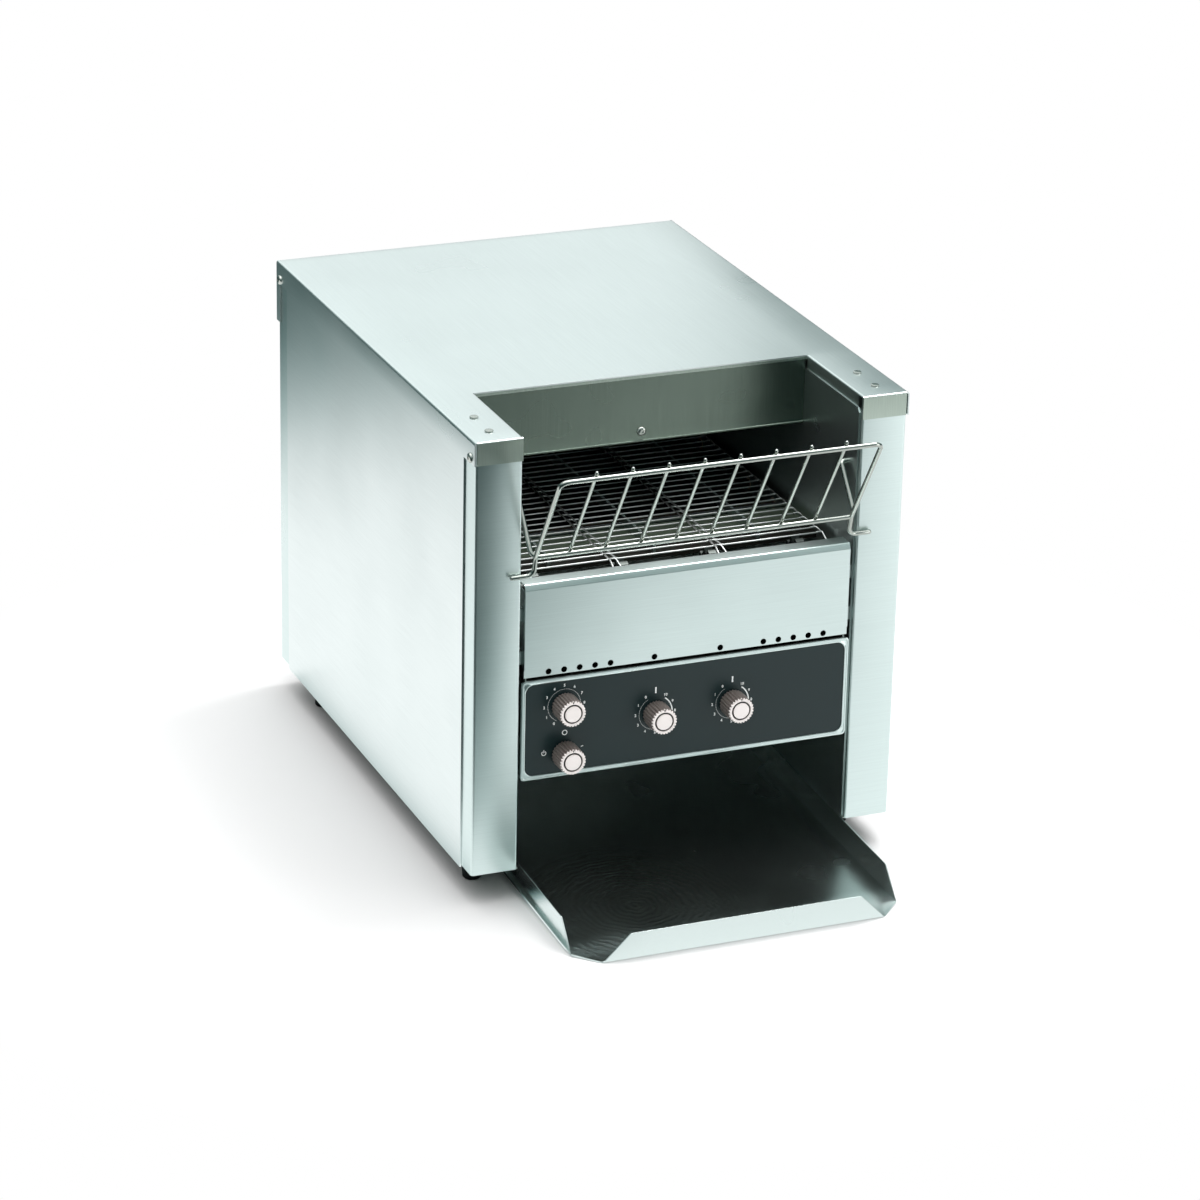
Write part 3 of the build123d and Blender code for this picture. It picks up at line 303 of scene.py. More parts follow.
def moulded(name, colour, roughness, grain_mm=0.5, tone=0.15, bump=0.05, ior=1.55):
    """Moulded plastic, rubber, ceramic or pressed fibre: a fine pitted skin from its mould."""
    material, tree = new_material(name)
    grit = 1 / (grain_mm * MM)
    noise = add_node(
        tree,
        "ShaderNodeTexNoise",
        {"Scale": 1.0, "Detail": 4.0, "Roughness": 0.6},
        {"Vector": place_of(tree, (grit, grit, grit)).outputs[0]},
    )
    dark = tuple(c * (1 - tone) for c in linear(colour)[:3]) + (1.0,)
    tint = add_node(
        tree,
        "ShaderNodeMix",
        {"data_type": "RGBA", 6: dark, 7: linear(colour)},
        {0: noise.outputs["Fac"]},
    )
    relief = add_node(
        tree,
        "ShaderNodeBump",
        {"Strength": 0.4, "Distance": bump * MM},
        {"Height": noise.outputs["Fac"]},
    )
    shader = add_node(
        tree,
        "ShaderNodeBsdfPrincipled",
        {"IOR": ior, "Roughness": roughness},
        {"Base Color": tint.outputs[2], "Normal": relief.outputs[0]},
    )
    finish_material(tree, shader)
    return material


# Every finish by name, with what it is and where it holds painted light or shade: the builder of its nodes,
# its colour and its settings.
FINISHES = {
    # Belt-ground 304 sheet, bright and satin; the grain runs front to back over the shell.
    "belt_ground_shell": (brushed_steel, "#ECF2F1", {"grain": "back", "roughness": 0.30}),
    # The shell's folded tabs, whose grain turns down with the sheet: they spread light sideways. Their
    # colour is also a darker, greener copy of the shell's: painted shade.
    "belt_ground_tab": (brushed_steel, "#C6D3C8", {"grain": "upright", "roughness": 0.30, "tone": 0.2}),
    # The same sheet with its grain across: posts, panel and frame catch the light as a soft upright glow.
    "belt_ground_front": (brushed_steel, "#DDEAE8", {"grain": "level", "roughness": 0.30, "tone": 0.06}),
    # Grain upright: the splash panel mirrors the dim inside, and its colour is made darker and greener
    # still: painted shade.
    "belt_ground_splash": (brushed_steel, "#7B887E", {"grain": "upright", "roughness": 0.27, "tone": 0.2}),
    # Mill finish inside walls, smoother and duller, with hazy reflections.
    "mill_finish_wall": (
        brushed_steel, "#B2BEBC", {"grain": "back", "roughness": 0.30, "anisotropy": 0.3, "clean": 0.95}
    ),
    # Deck dulled by crumbs and heat to a hazy olive straw tone; along its front edge it is painted very
    # dark, a painted shade for the dark gaps under the belt's nose.
    "heat_dulled_deck": (
        plain_metal,
        "#6C7A68",
        {"roughness": 0.50, "grit_mm": 5, "metallic": 0.4, "painted_shade_band": (-0.116, -0.100)},
    ),
    # The chute: a pale matt sheet, far paler than the steel it is, painted light that the tray mirrors as a
    # lit band.
    "heat_dulled_chute": (plain_metal, "#F0F6F4", {"roughness": 0.50, "grit_mm": 8, "metallic": 0.0}),
    # Tray sheet rubbed by crusts and cloths: arcs of sheen where it was wiped.
    "wiped_tray": (
        brushed_steel,
        "#DCE6E4",
        {"grain": "back", "roughness": 0.24, "smear": 0.04, "clean": 0.992, "wiped": True},
    ),
    # Drawn and electropolished wire: sharp highlights along the rack.
    "polished_wire": (plain_metal, "#B4B8B2", {"roughness": 0.07}),
    # Belt wire, dark grey and fairly rough.
    "belt_wire": (plain_metal, "#585C56", {"roughness": 0.40}),
    # Zinc-plated screws and rivets.
    "plated_fastener": (plain_metal, "#C6C9C3", {"roughness": 0.20}),
    # Turned shafts, sprockets and chain parts.
    "turned_steel": (plain_metal, "#4E5250", {"roughness": 0.38}),
    # Hot-dip zinc with faint spangle, some 9 mm across.
    "galvanised_sheet": (plain_metal, "#B9C2BC", {"roughness": 0.42, "grit_mm": 9, "tone": 0.25}),
    # Aluminised reflectors, browned and hazed by the heaters, and painted darker still as shade for the dim
    # inside.
    "browned_aluminised_sheet": (plain_metal, "#4A4743", {"roughness": 0.40, "grit_mm": 4}),
    # Tube heaters oxidised brown by use.
    "oxidised_sheath": (plain_metal, "#3A332E", {"roughness": 0.55, "grit_mm": 3}),
    # Enamelled gear casting.
    "enamelled_casting": (moulded, "#3C4246", {"roughness": 0.45, "grain_mm": 1.2}),
    # Screen-printed control plate: near-black teal with a satin overlay.
    "printed_plate": (
        moulded,
        "#0B2426",
        {"roughness": 0.34, "grain_mm": 0.3, "tone": 0.06, "bump": 0.01, "ior": 1.45},
    ),
    # Knob skirts in metallic lacquer, warm grey: a darker copy of the caps' lacquer, painted shade on sides
    # that face away from the light; the flutes darken by their own relief.
    "lacquered_skirt": (plain_metal, "#A89D98", {"roughness": 0.34, "metallic": 0.5}),
    # The knobs' faces in the same lacquer, a little pinkish, given a brighter, mostly matt copy: painted
    # light on faces that look to the front.
    "lacquered_cap": (plain_metal, "#FAF2EF", {"roughness": 0.30, "metallic": 0.15, "tone": 0.06}),
    # Painted shade in the groove pressed round each knob's cap: a dark colour where the groove falls in
    # shade.
    "dark_ring": (moulded, "#3E3634", {"roughness": 0.5}),
    # White screen ink.
    "screen_ink": (moulded, "#F4F8F7", {"roughness": 0.6, "grain_mm": 0.3, "tone": 0.03}),
    # Dark phenolic switch bodies.
    "moulded_phenolic": (moulded, "#2A2624", {"roughness": 0.5}),
    # Rubber feet, matt with a dusty skin.
    "moulded_rubber": (moulded, "#17181A", {"roughness": 0.7, "grain_mm": 0.8, "ior": 1.52}),
    # Chalky steatite insulators.
    "unglazed_ceramic": (moulded, "#DAD5C6", {"roughness": 0.8, "ior": 1.6}),
    # Mineral wool board, coarse and dry; its very dark colour is painted shade for the dim inside of the
    # cabinet.
    "smoked_mineral_wool": (
        moulded, "#2B2823", {"roughness": 0.95, "grain_mm": 2.0, "tone": 0.4, "bump": 0.6, "ior": 1.45}
    ),
    # Glass-filled polyamide of the fan and gland.
    "moulded_polyamide": (moulded, "#1B1D1E", {"roughness": 0.48, "ior": 1.53}),
}


def finish_of(name):
    """The finish of that name, built the first time it is wanted."""
    ready = bpy.data.materials.get(name)
    if ready:
        return ready
    builder, colour, settings = FINISHES[name]
    return builder(name, colour, **settings)


# ================================================================ surfaces
def grid_faces(rows, columns, closed_columns=False, keep=None):
    """Corner numbers of every cell of a grid, row by row; keep is a mask of the cells that are sheet."""
    across = columns if closed_columns else columns - 1
    i, j = np.meshgrid(np.arange(rows - 1), np.arange(across), indexing="ij")
    beside = (j + 1) % columns
    cells = [i * columns + j, (i + 1) * columns + j, (i + 1) * columns + beside, i * columns + beside]
    cells = np.stack(cells, -1)
    return cells[keep] if keep is not None else cells.reshape(-1, 4)


def skin(points, keep=None, closed_columns=False):
    """A grid of points as a surface."""
    rows, columns = points.shape[:2]
    return points.reshape(-1, 3), [grid_faces(rows, columns, closed_columns, keep)]


def stack(loops):
    """Closed loops of equal count joined in order, with the first and last filled."""
    loops = np.asarray(loops, float)
    rows, columns = loops.shape[:2]
    ends = np.stack([np.arange(columns)[::-1], np.arange(columns) + (rows - 1) * columns])
    return loops.reshape(-1, 3), [grid_faces(rows, columns, closed_columns=True), ends]


def lift(outline, axis, level):
    """A 2-D outline set square to an axis of the machine at a level."""
    outline = np.asarray(outline, float)
    return np.insert(outline, axis, level, axis=1)


def bar(outline, axis, start, end):
    """A closed 2-D outline carried straight along an axis of the machine, both ends filled."""
    return stack([lift(outline, axis, start), lift(outline, axis, end)])


def turned(profile, centre, axis, sides=40):
    """Points (radius, distance along the axis) turned about an axis through a centre."""
    profile = np.asarray(profile, float)
    turn = np.linspace(0, 2 * np.pi, sides, endpoint=False)
    points = np.zeros((len(profile), sides, 3))
    others = [k for k in range(3) if k != axis]
    points[..., others[0]] = profile[:, :1] * np.cos(turn)
    points[..., others[1]] = profile[:, :1] * np.sin(turn)
    points[..., axis] = profile[:, 1:]
    return skin(points + np.asarray(centre, float), closed_columns=True)


def rounded(corners, radii, steps=6):
    """A path of straight runs whose corners are arcs: an arc of radius r touches both runs at
    r / tan(half the inside angle) from the corner, and its points turn evenly about its centre."""
    corners = np.asarray(corners, float)
    path = [corners[:1]]
    for before, corner, after, radius in zip(corners, corners[1:], corners[2:], radii):
        a = (before - corner) / np.linalg.norm(before - corner)
        c = (after - corner) / np.linalg.norm(after - corner)
        half = np.arccos(np.clip(a @ c, -1, 1)) / 2
        centre = corner + (a + c) / np.linalg.norm(a + c) * radius / np.sin(half)
        start = corner + a * radius / np.tan(half) - centre
        turn = np.linspace(0, np.pi - 2 * half, steps + 1)[:, None]
        path.append(centre + np.cos(turn) * start - np.sin(turn) * radius * a)
    path.append(corners[-1:])
    return np.concatenate(path)


def strip(path, gauge):
    """Outline of a sheet seen on edge: a path and its parallel a gauge away, to the left of the path's run;
    each point moves along the bisector of its two runs by gauge / cos(half the turn)."""
    path = np.asarray(path, float)
    runs = np.diff(path, axis=0)
    runs /= np.linalg.norm(runs, axis=1, keepdims=True)
    square = np.stack([-runs[:, 1], runs[:, 0]], -1)
    first, last = np.concatenate([square[:1], square]), np.concatenate([square, square[-1:]])
    bisector = first + last
    bisector /= np.sum(bisector * first, axis=1, keepdims=True)
    return np.concatenate([path, (path + gauge * bisector)[::-1]])


def box_loop(half_width, half_height, radius, steps=6):
    """Loop of a rectangle with round corners, about its middle."""
    turn = np.linspace(0, np.pi / 2, steps + 1)
    quarter = np.stack([np.cos(turn), np.sin(turn)], -1) * radius
    centre = np.array([half_width - radius, half_height - radius])
    signs = np.array([(1, 1), (-1, 1), (-1, -1), (1, -1)])
    arcs = [quarter + centre, (quarter[::-1] + centre), quarter + centre, quarter[::-1] + centre]
    return np.concatenate([arc * sign for arc, sign in zip(arcs, signs)])


def tubes(paths, radius, sides=10, lean=(0.31, 0.62, 0.72)):
    """Round wires along paths of equal point count: a circle square to the path at every point, its first
    direction square to a fixed lean; the ends shrink along a quarter circle."""
    paths = np.asarray(paths, float)
    paths = paths[None] if paths.ndim == 2 else paths
    runs = np.diff(paths, axis=1)
    runs /= np.linalg.norm(runs, axis=2, keepdims=True)
    ahead = np.concatenate([runs[:, :1], runs[:, 1:] + runs[:, :-1], runs[:, -1:]], 1)
    ahead /= np.linalg.norm(ahead, axis=2, keepdims=True)
    bulge = np.radians([90, 55, 25])
    out, width = np.sin(bulge)[None, :, None] * radius, np.cos(bulge)
    first = paths[:, :1] - ahead[:, :1] * out
    last = (paths[:, -1:] + ahead[:, -1:] * out)[:, ::-1]
    middle_widths = np.ones(paths.shape[1])
    paths = np.concatenate([first, paths, last], 1)
    ahead = np.concatenate([ahead[:, :1].repeat(3, 1), ahead, ahead[:, -1:].repeat(3, 1)], 1)
    widths = radius * np.concatenate([width, middle_widths, width[::-1]])[None, :, None, None]
    across = np.cross(ahead, lean)
    across /= np.linalg.norm(across, axis=2, keepdims=True)
    up = np.cross(ahead, across)
    turn = np.linspace(0, 2 * np.pi, sides, endpoint=False)[:, None]
    rings = paths[:, :, None] + widths * (across[:, :, None] * np.cos(turn) + up[:, :, None] * np.sin(turn))
    count, stations = rings.shape[:2]
    faces = grid_faces(stations, sides, closed_columns=True)
    faces = faces[None] + (np.arange(count) * stations * sides)[:, None, None]
    return rings.reshape(-1, 3), [faces.reshape(-1, 4)]


def build(name, parts, finish, body, replaced=(), crease=35, inside=None):
    """One object from (points, faces) pairs in machine millimetres, riding on a body. Seams are joined and
    faces turned outwards; an open sheet needs a point inside it."""
    starts = np.cumsum([0] + [len(points) for points, _ in parts])
    points = in_row(np.concatenate([points for points, _ in parts])).astype(np.float32)
    faces = [corners + start for (_, groups), start in zip(parts, starts) for corners in groups]
    loops = np.concatenate([corners.ravel() for corners in faces]).astype(np.int32)
    counts = np.concatenate([np.full(len(corners), corners.shape[1]) for corners in faces])
    mesh = bpy.data.meshes.new(name)
    mesh.vertices.add(len(points))
    mesh.vertices.foreach_set("co", points.ravel())
    mesh.loops.add(len(loops))
    mesh.loops.foreach_set("vertex_index", loops)
    mesh.polygons.add(len(counts))
    mesh.polygons.foreach_set("loop_start", (np.cumsum(counts) - counts).astype(np.int32))
    mesh.update(calc_edges=True)
    mesh.validate()
    join_seams(mesh, inside)
    mesh.shade_smooth()
    mesh.set_sharp_from_angle(angle=np.radians(crease))
    mesh.materials.append(finish_of(finish))
    piece = bpy.data.objects.new(name, mesh)
    bpy.context.scene.collection.objects.link(piece)
    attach(piece, body)
    if replaced:
        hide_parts(*replaced)
    return piece


def join_seams(mesh, inside=None):
    """Joins points that lie on each other and turns the faces outwards: for an open sheet, away from a
    point inside it."""
    work = bmesh.new()
    work.from_mesh(mesh)
    bmesh.ops.remove_doubles(work, verts=work.verts, dist=0.01 * MM)
    bmesh.ops.dissolve_degenerate(work, dist=0.005 * MM, edges=work.edges)
    bmesh.ops.recalc_face_normals(work, faces=work.faces)
    if inside is not None:
        centre = Vector(in_row(inside))
        facing = sum(f.normal.dot(f.calc_center_median() - centre) * f.calc_area() for f in work.faces)
        if facing < 0:
            bmesh.ops.reverse_faces(work, faces=work.faces)
    work.to_mesh(mesh)
    work.free()


def give_gauge(piece, gauge, rounding):
    """A sheet gets its gauge behind its surface, and its cut edges a small round."""
    wall = piece.modifiers.new("gauge", "SOLIDIFY")
    wall.thickness = gauge
    wall.offset = -1
    wall.use_even_offset = True
    soften(piece, rounding)


def soften(piece, rounding, segments=2, angle=40):
    """Rounds a piece's sharp edges."""
    bevel = piece.modifiers.new("rounding", "BEVEL")
    bevel.width = rounding
    bevel.segments = segments
    bevel.limit_method = "ANGLE"
    bevel.angle_limit = np.radians(angle)
    bevel.harden_normals = True


# ================================================================ sizes a user would change
class ToasterSizes(bpy.types.PropertyGroup):
    """Bends, gauges and wires of the visible pieces"""

    gauge: bpy.props.FloatProperty(
        name="Shell gauge", description="Thickness of the shell and posts", default=1.5 * MM, unit="LENGTH"
    )
    thin_gauge: bpy.props.FloatProperty(
        name="Panel gauge", description="Thickness of the panels and tray", default=1.2 * MM, unit="LENGTH"
    )
    rounding: bpy.props.FloatProperty(
        name="Edge rounding", description="Round on cut edges", default=0.3 * MM, unit="LENGTH"
    )
    bend: bpy.props.FloatProperty(
        name="Bend",
        description="Outer radius of the shell's and posts' bends",
        default=3.0 * MM,
        unit="LENGTH",
    )
    fold: bpy.props.FloatProperty(
        name="Fold",
        description="Outer radius of the tabs' and tray's folds",
        default=2.2 * MM,
        unit="LENGTH",
    )
    belt_wire: bpy.props.FloatProperty(
        name="Belt wire", description="Diameter of the belt's wires", default=1.9 * MM, unit="LENGTH"
    )
    rack_wire: bpy.props.FloatProperty(
        name="Rack wire", description="Diameter of the rack's frame wire", default=5.0 * MM, unit="LENGTH"
    )
    rack_bar: bpy.props.FloatProperty(
        name="Rack bar", description="Diameter of the rack's bars", default=4.0 * MM, unit="LENGTH"
    )
    flutes: bpy.props.IntProperty(name="Flutes", description="Flutes round each knob", default=26, min=8)


# ================================================================ sheet metal
class ShellOperator(bpy.types.Operator):
    """Outer shell: top and sides in one sheet, its tabs, notch edges and rear flange folded down"""

    bl_idname = "toaster.shell"
    bl_label = "Outer shell"

    def execute(self, context):
        sizes = context.scene.toaster_sizes
        bend, fold = sizes.bend / MM, sizes.fold / MM
        cap, strip_front, strip_rear = 24.5, 30.0, REAR - 35.0
        hook_depth, hook_drop = REAR - 11.0, 68.0
        wing_drop, brow_drop = 14.0, 4.5
        flat, inner = HALF_WIDTH - bend, NOTCH + fold
        turn = np.linspace(0, np.pi / 2, 7)
        corner = np.stack([-flat - bend * np.cos(turn), bend - bend * np.sin(turn)], -1)
        half = np.concatenate(
            [[(-HALF_WIDTH, SIDE_LOW), (-HALF_WIDTH, hook_drop), (-HALF_WIDTH, cap)], corner]
        )
        half = np.concatenate([half, [(-inner, 0), (-NOTCH, 0)]])
        profile = np.concatenate([half, half[::-1] * (-1, 1)])
        depths = np.array(
            [0, fold, strip_front, NOTCH_REAR, NOTCH_REAR + fold, strip_rear, hook_depth, REAR - fold, REAR]
        )
        points = np.zeros((len(depths), len(profile), 3))
        points[..., 0], points[..., 2], points[..., 1] = profile[:, 0], profile[:, 1], depths[:, None]
        across = (np.abs(profile[1:, 0]) + np.abs(profile[:-1, 0]))[None] / 2
        drop = (profile[1:, 1] + profile[:-1, 1])[None] / 2
        depth = (depths[1:] + depths[:-1])[:, None] / 2
        cut = (drop > cap) & (depth < strip_front)
        cut |= (drop > cap) & (depth > strip_rear) & ~((drop < hook_drop) & (depth > hook_depth))
        cut |= (across < NOTCH) & (depth < NOTCH_REAR + fold)
        cut |= (across < inner) & (depth < NOTCH_REAR)
        cut |= (across < flat) & ((depth < fold) | (depth > REAR - fold))
        quarter = np.stack([fold - fold * np.sin(turn), fold - fold * np.cos(turn)], -1)
        tab = np.concatenate([quarter, [(0, cap)]])
        parts = [skin(points, ~cut)]
        for side in (-1, 1):
            parts.append(self.folded(tab, np.array([NOTCH, inner, flat]) * side))
            flange = np.concatenate([quarter, [(0, wing_drop)]])
            runs = np.array([fold, strip_front, NOTCH_REAR])
            wing = np.zeros((len(flange), len(runs), 3))
            wing[..., 0] = side * (NOTCH + flange[:, :1])
            wing[..., 1] = runs
            wing[..., 2] = flange[:, 1:]
            parts.append(skin(wing))
        brow = np.concatenate([quarter, [(0, brow_drop)]]) + (NOTCH_REAR, 0)
        parts.append(self.folded(brow, np.array([-NOTCH, NOTCH])))
        heel = tab * (-1, 1) + (REAR, 0)
        parts.append(self.folded(heel, np.array([-flat, -inner, -NOTCH, NOTCH, inner, flat])))
        shell = build(
            "outer_shell_sheet",
            parts,
            "belt_ground_shell",
            "cabinet",
            ["outer_shell"],
            inside=(0, REAR / 2, SIDE_LOW / 2),
        )
        mesh = shell.data
        mesh.materials.append(finish_of("belt_ground_tab"))
        normals = np.zeros(3 * len(mesh.polygons), np.float32)
        mesh.polygons.foreach_get("normal", normals)
        # Faces that look to the front or back get the tabs' darker, greener copy of the sheet's colour:
        # painted shade.
        painted_shade_faces = np.abs(normals[1::3]) > 0.9
        mesh.polygons.foreach_set("material_index", painted_shade_faces.astype(np.int32))
        give_gauge(shell, sizes.gauge, sizes.rounding)
        return {"FINISHED"}

    def folded(self, path, across):
        """A path of (depth, drop) carried through places across."""
        points = np.zeros((len(path), len(across), 3))
        points[..., 0] = across
        points[..., 1:] = path[:, None]
        return skin(points)


class PostsOperator(bpy.types.Operator):
    """Corner posts: folded channels at the front, angles at the rear"""

    bl_idname = "toaster.posts"
    bl_label = "Corner posts"

    # How far back a front channel's side and its return along the notch reach, and the two legs of a rear
    # angle, in millimetres.
    CHANNEL_SIDE, CHANNEL_RETURN = 40.0, 12.0
    ANGLE_LEGS = (42, 27)

    def execute(self, context):
        sizes = context.scene.toaster_sizes
        gauge, bend = sizes.gauge / MM, sizes.bend / MM
        for side, name in ((-1, "left"), (1, "right")):
            node = f"{name}_front_post"
            top, low = SHELL_SKIN, span(node, 2)[1]
            face = span(node, 1)[0]
            outer, inner = side * (HALF_WIDTH - SHELL_SKIN), side * NOTCH
            outer_run = [(outer, self.CHANNEL_SIDE), (outer, face)]
            inner_run = [(inner, face), (inner, self.CHANNEL_RETURN)]
            route = rounded(outer_run + inner_run, [bend, bend * 0.7])
            outline = strip(route, -side * gauge)
            self.post(f"{node}_channel", node, bar(outline, 2, top, low), sizes.rounding)
            node = f"{name}_rear_post"
            rear, low = span(node, 1)[1], span(node, 2)[1]
            side_leg, rear_leg = self.ANGLE_LEGS
            corners = [(outer, rear - side_leg), (outer, rear), (outer - side * rear_leg, rear)]
            route = rounded(corners, [bend])
            outline = strip(route, side * gauge)
            self.post(f"{node}_angle", node, bar(outline, 2, top, low), sizes.rounding)
        return {"FINISHED"}

    def post(self, name, node, sheet, rounding):
        """An upright folded sheet that takes a CAD post's place."""
        piece = build(name, [sheet], "belt_ground_front", "cabinet", [node])
        soften(piece, rounding)


class SplashOperator(bpy.types.Operator):
    """Splash panel behind the loading notch, with a bead along its lower hem"""

    bl_idname = "toaster.splash"
    bl_label = "Splash panel"

    def execute(self, context):
        sizes = context.scene.toaster_sizes
        face, low, roll = NOTCH_REAR + 0.4, span("splash_panel", 2)[1], 1.3
        turn = np.radians(np.linspace(0, 180, 12))
        hem = np.stack([face - roll * np.sin(turn), low - roll - roll * np.cos(turn)], -1)
        path = np.concatenate([[(face, 2.6)], hem])
        outline = strip(path, -sizes.thin_gauge / MM * 0.8)
        reach = WALL - 0.1
        splash = build(
            "splash_sheet",
            [bar(outline, 0, -reach, reach)],
            "belt_ground_splash",
            "cabinet",
            ["splash_panel"],
        )
        soften(splash, 0.15 * MM)
        return {"FINISHED"}


class FrontPanelOperator(bpy.types.Operator):
    """Upper front panel: folded along its top, with a row of vent holes along its lower edge"""

    bl_idname = "toaster.front_panel"
    bl_label = "Upper front panel"

    def execute(self, context):
        sizes = context.scene.toaster_sizes
        gauge = sizes.thin_gauge / MM
        half = span("upper_front_panel", 0)[1]
        face, back = span("upper_front_panel", 1)
        top, low = span("upper_front_panel", 2)
        vent, rise = 3.2, 4.3
        top += 2.8
        slope_back, slope_drop = 2.1, 5.2
        seam = low - 2 * rise
        corners = [(back, top), (face + slope_back, top), (face, top + slope_drop), (face, seam)]
        route = rounded(corners, [0.8, 1.5])
        parts = [bar(strip(route, gauge), 0, -half, half)]
        for side in (-1, 1):
            outer, inner, front = side * half, side * (half - gauge), face + gauge
            cheek = [(outer, front), (outer, back), (inner, back), (inner, front)]
            parts.append(bar(cheek, 2, top + slope_drop, low))
        vents = np.array([151.5, 134.7, 117.9, 101.1, 84.3, 36.3])
        centres = np.concatenate([-vents, vents[::-1]])
        parts += self.drilled(centres, low - rise, rise, vent, face, face + gauge, half)
        panel = build(
            "upper_front_panel_sheet",
            parts,
            "belt_ground_front",
            "cabinet",
            ["upper_front_panel"],
        )
        soften(panel, 0.12 * MM, segments=1, angle=60)
        return {"FINISHED"}

    def drilled(self, centres, drop, reach, radius, face, back, half):
        """A strip with holes: round each hole a square cell, whose points lie where rays from the hole's
        middle meet the square and the circle, and plain cells between."""
        turn = np.linspace(0, 2 * np.pi, 33)[:-1]
        ray = np.stack([np.cos(turn), np.sin(turn)], -1)
        square = ray / np.abs(ray).max(1, keepdims=True) * reach
        rings = [(square, face), (ray * radius, face), (ray * radius, back), (square, back)]
        cell = np.stack([lift(ring, 1, level) for ring, level in rings])
        parts = [skin(cell + (across, 0, drop), closed_columns=True) for across in centres]
        cells = np.repeat(centres, 2) + np.tile([-reach, reach], len(centres))
        edges = np.concatenate([[-half], cells, [half]])
        top, low = drop - reach, drop + reach
        for left, right in edges.reshape(-1, 2):
            outline = [(left, top), (right, top), (right, low), (left, low)]
            parts.append(bar(outline, 1, face, back))
        foot = [(-half, face), (half, face), (half, back), (-half, back)]
        parts.append(skin(lift(foot, 2, drop + reach)[[0, 1, 3, 2]].reshape(2, 2, 3)))
        return parts


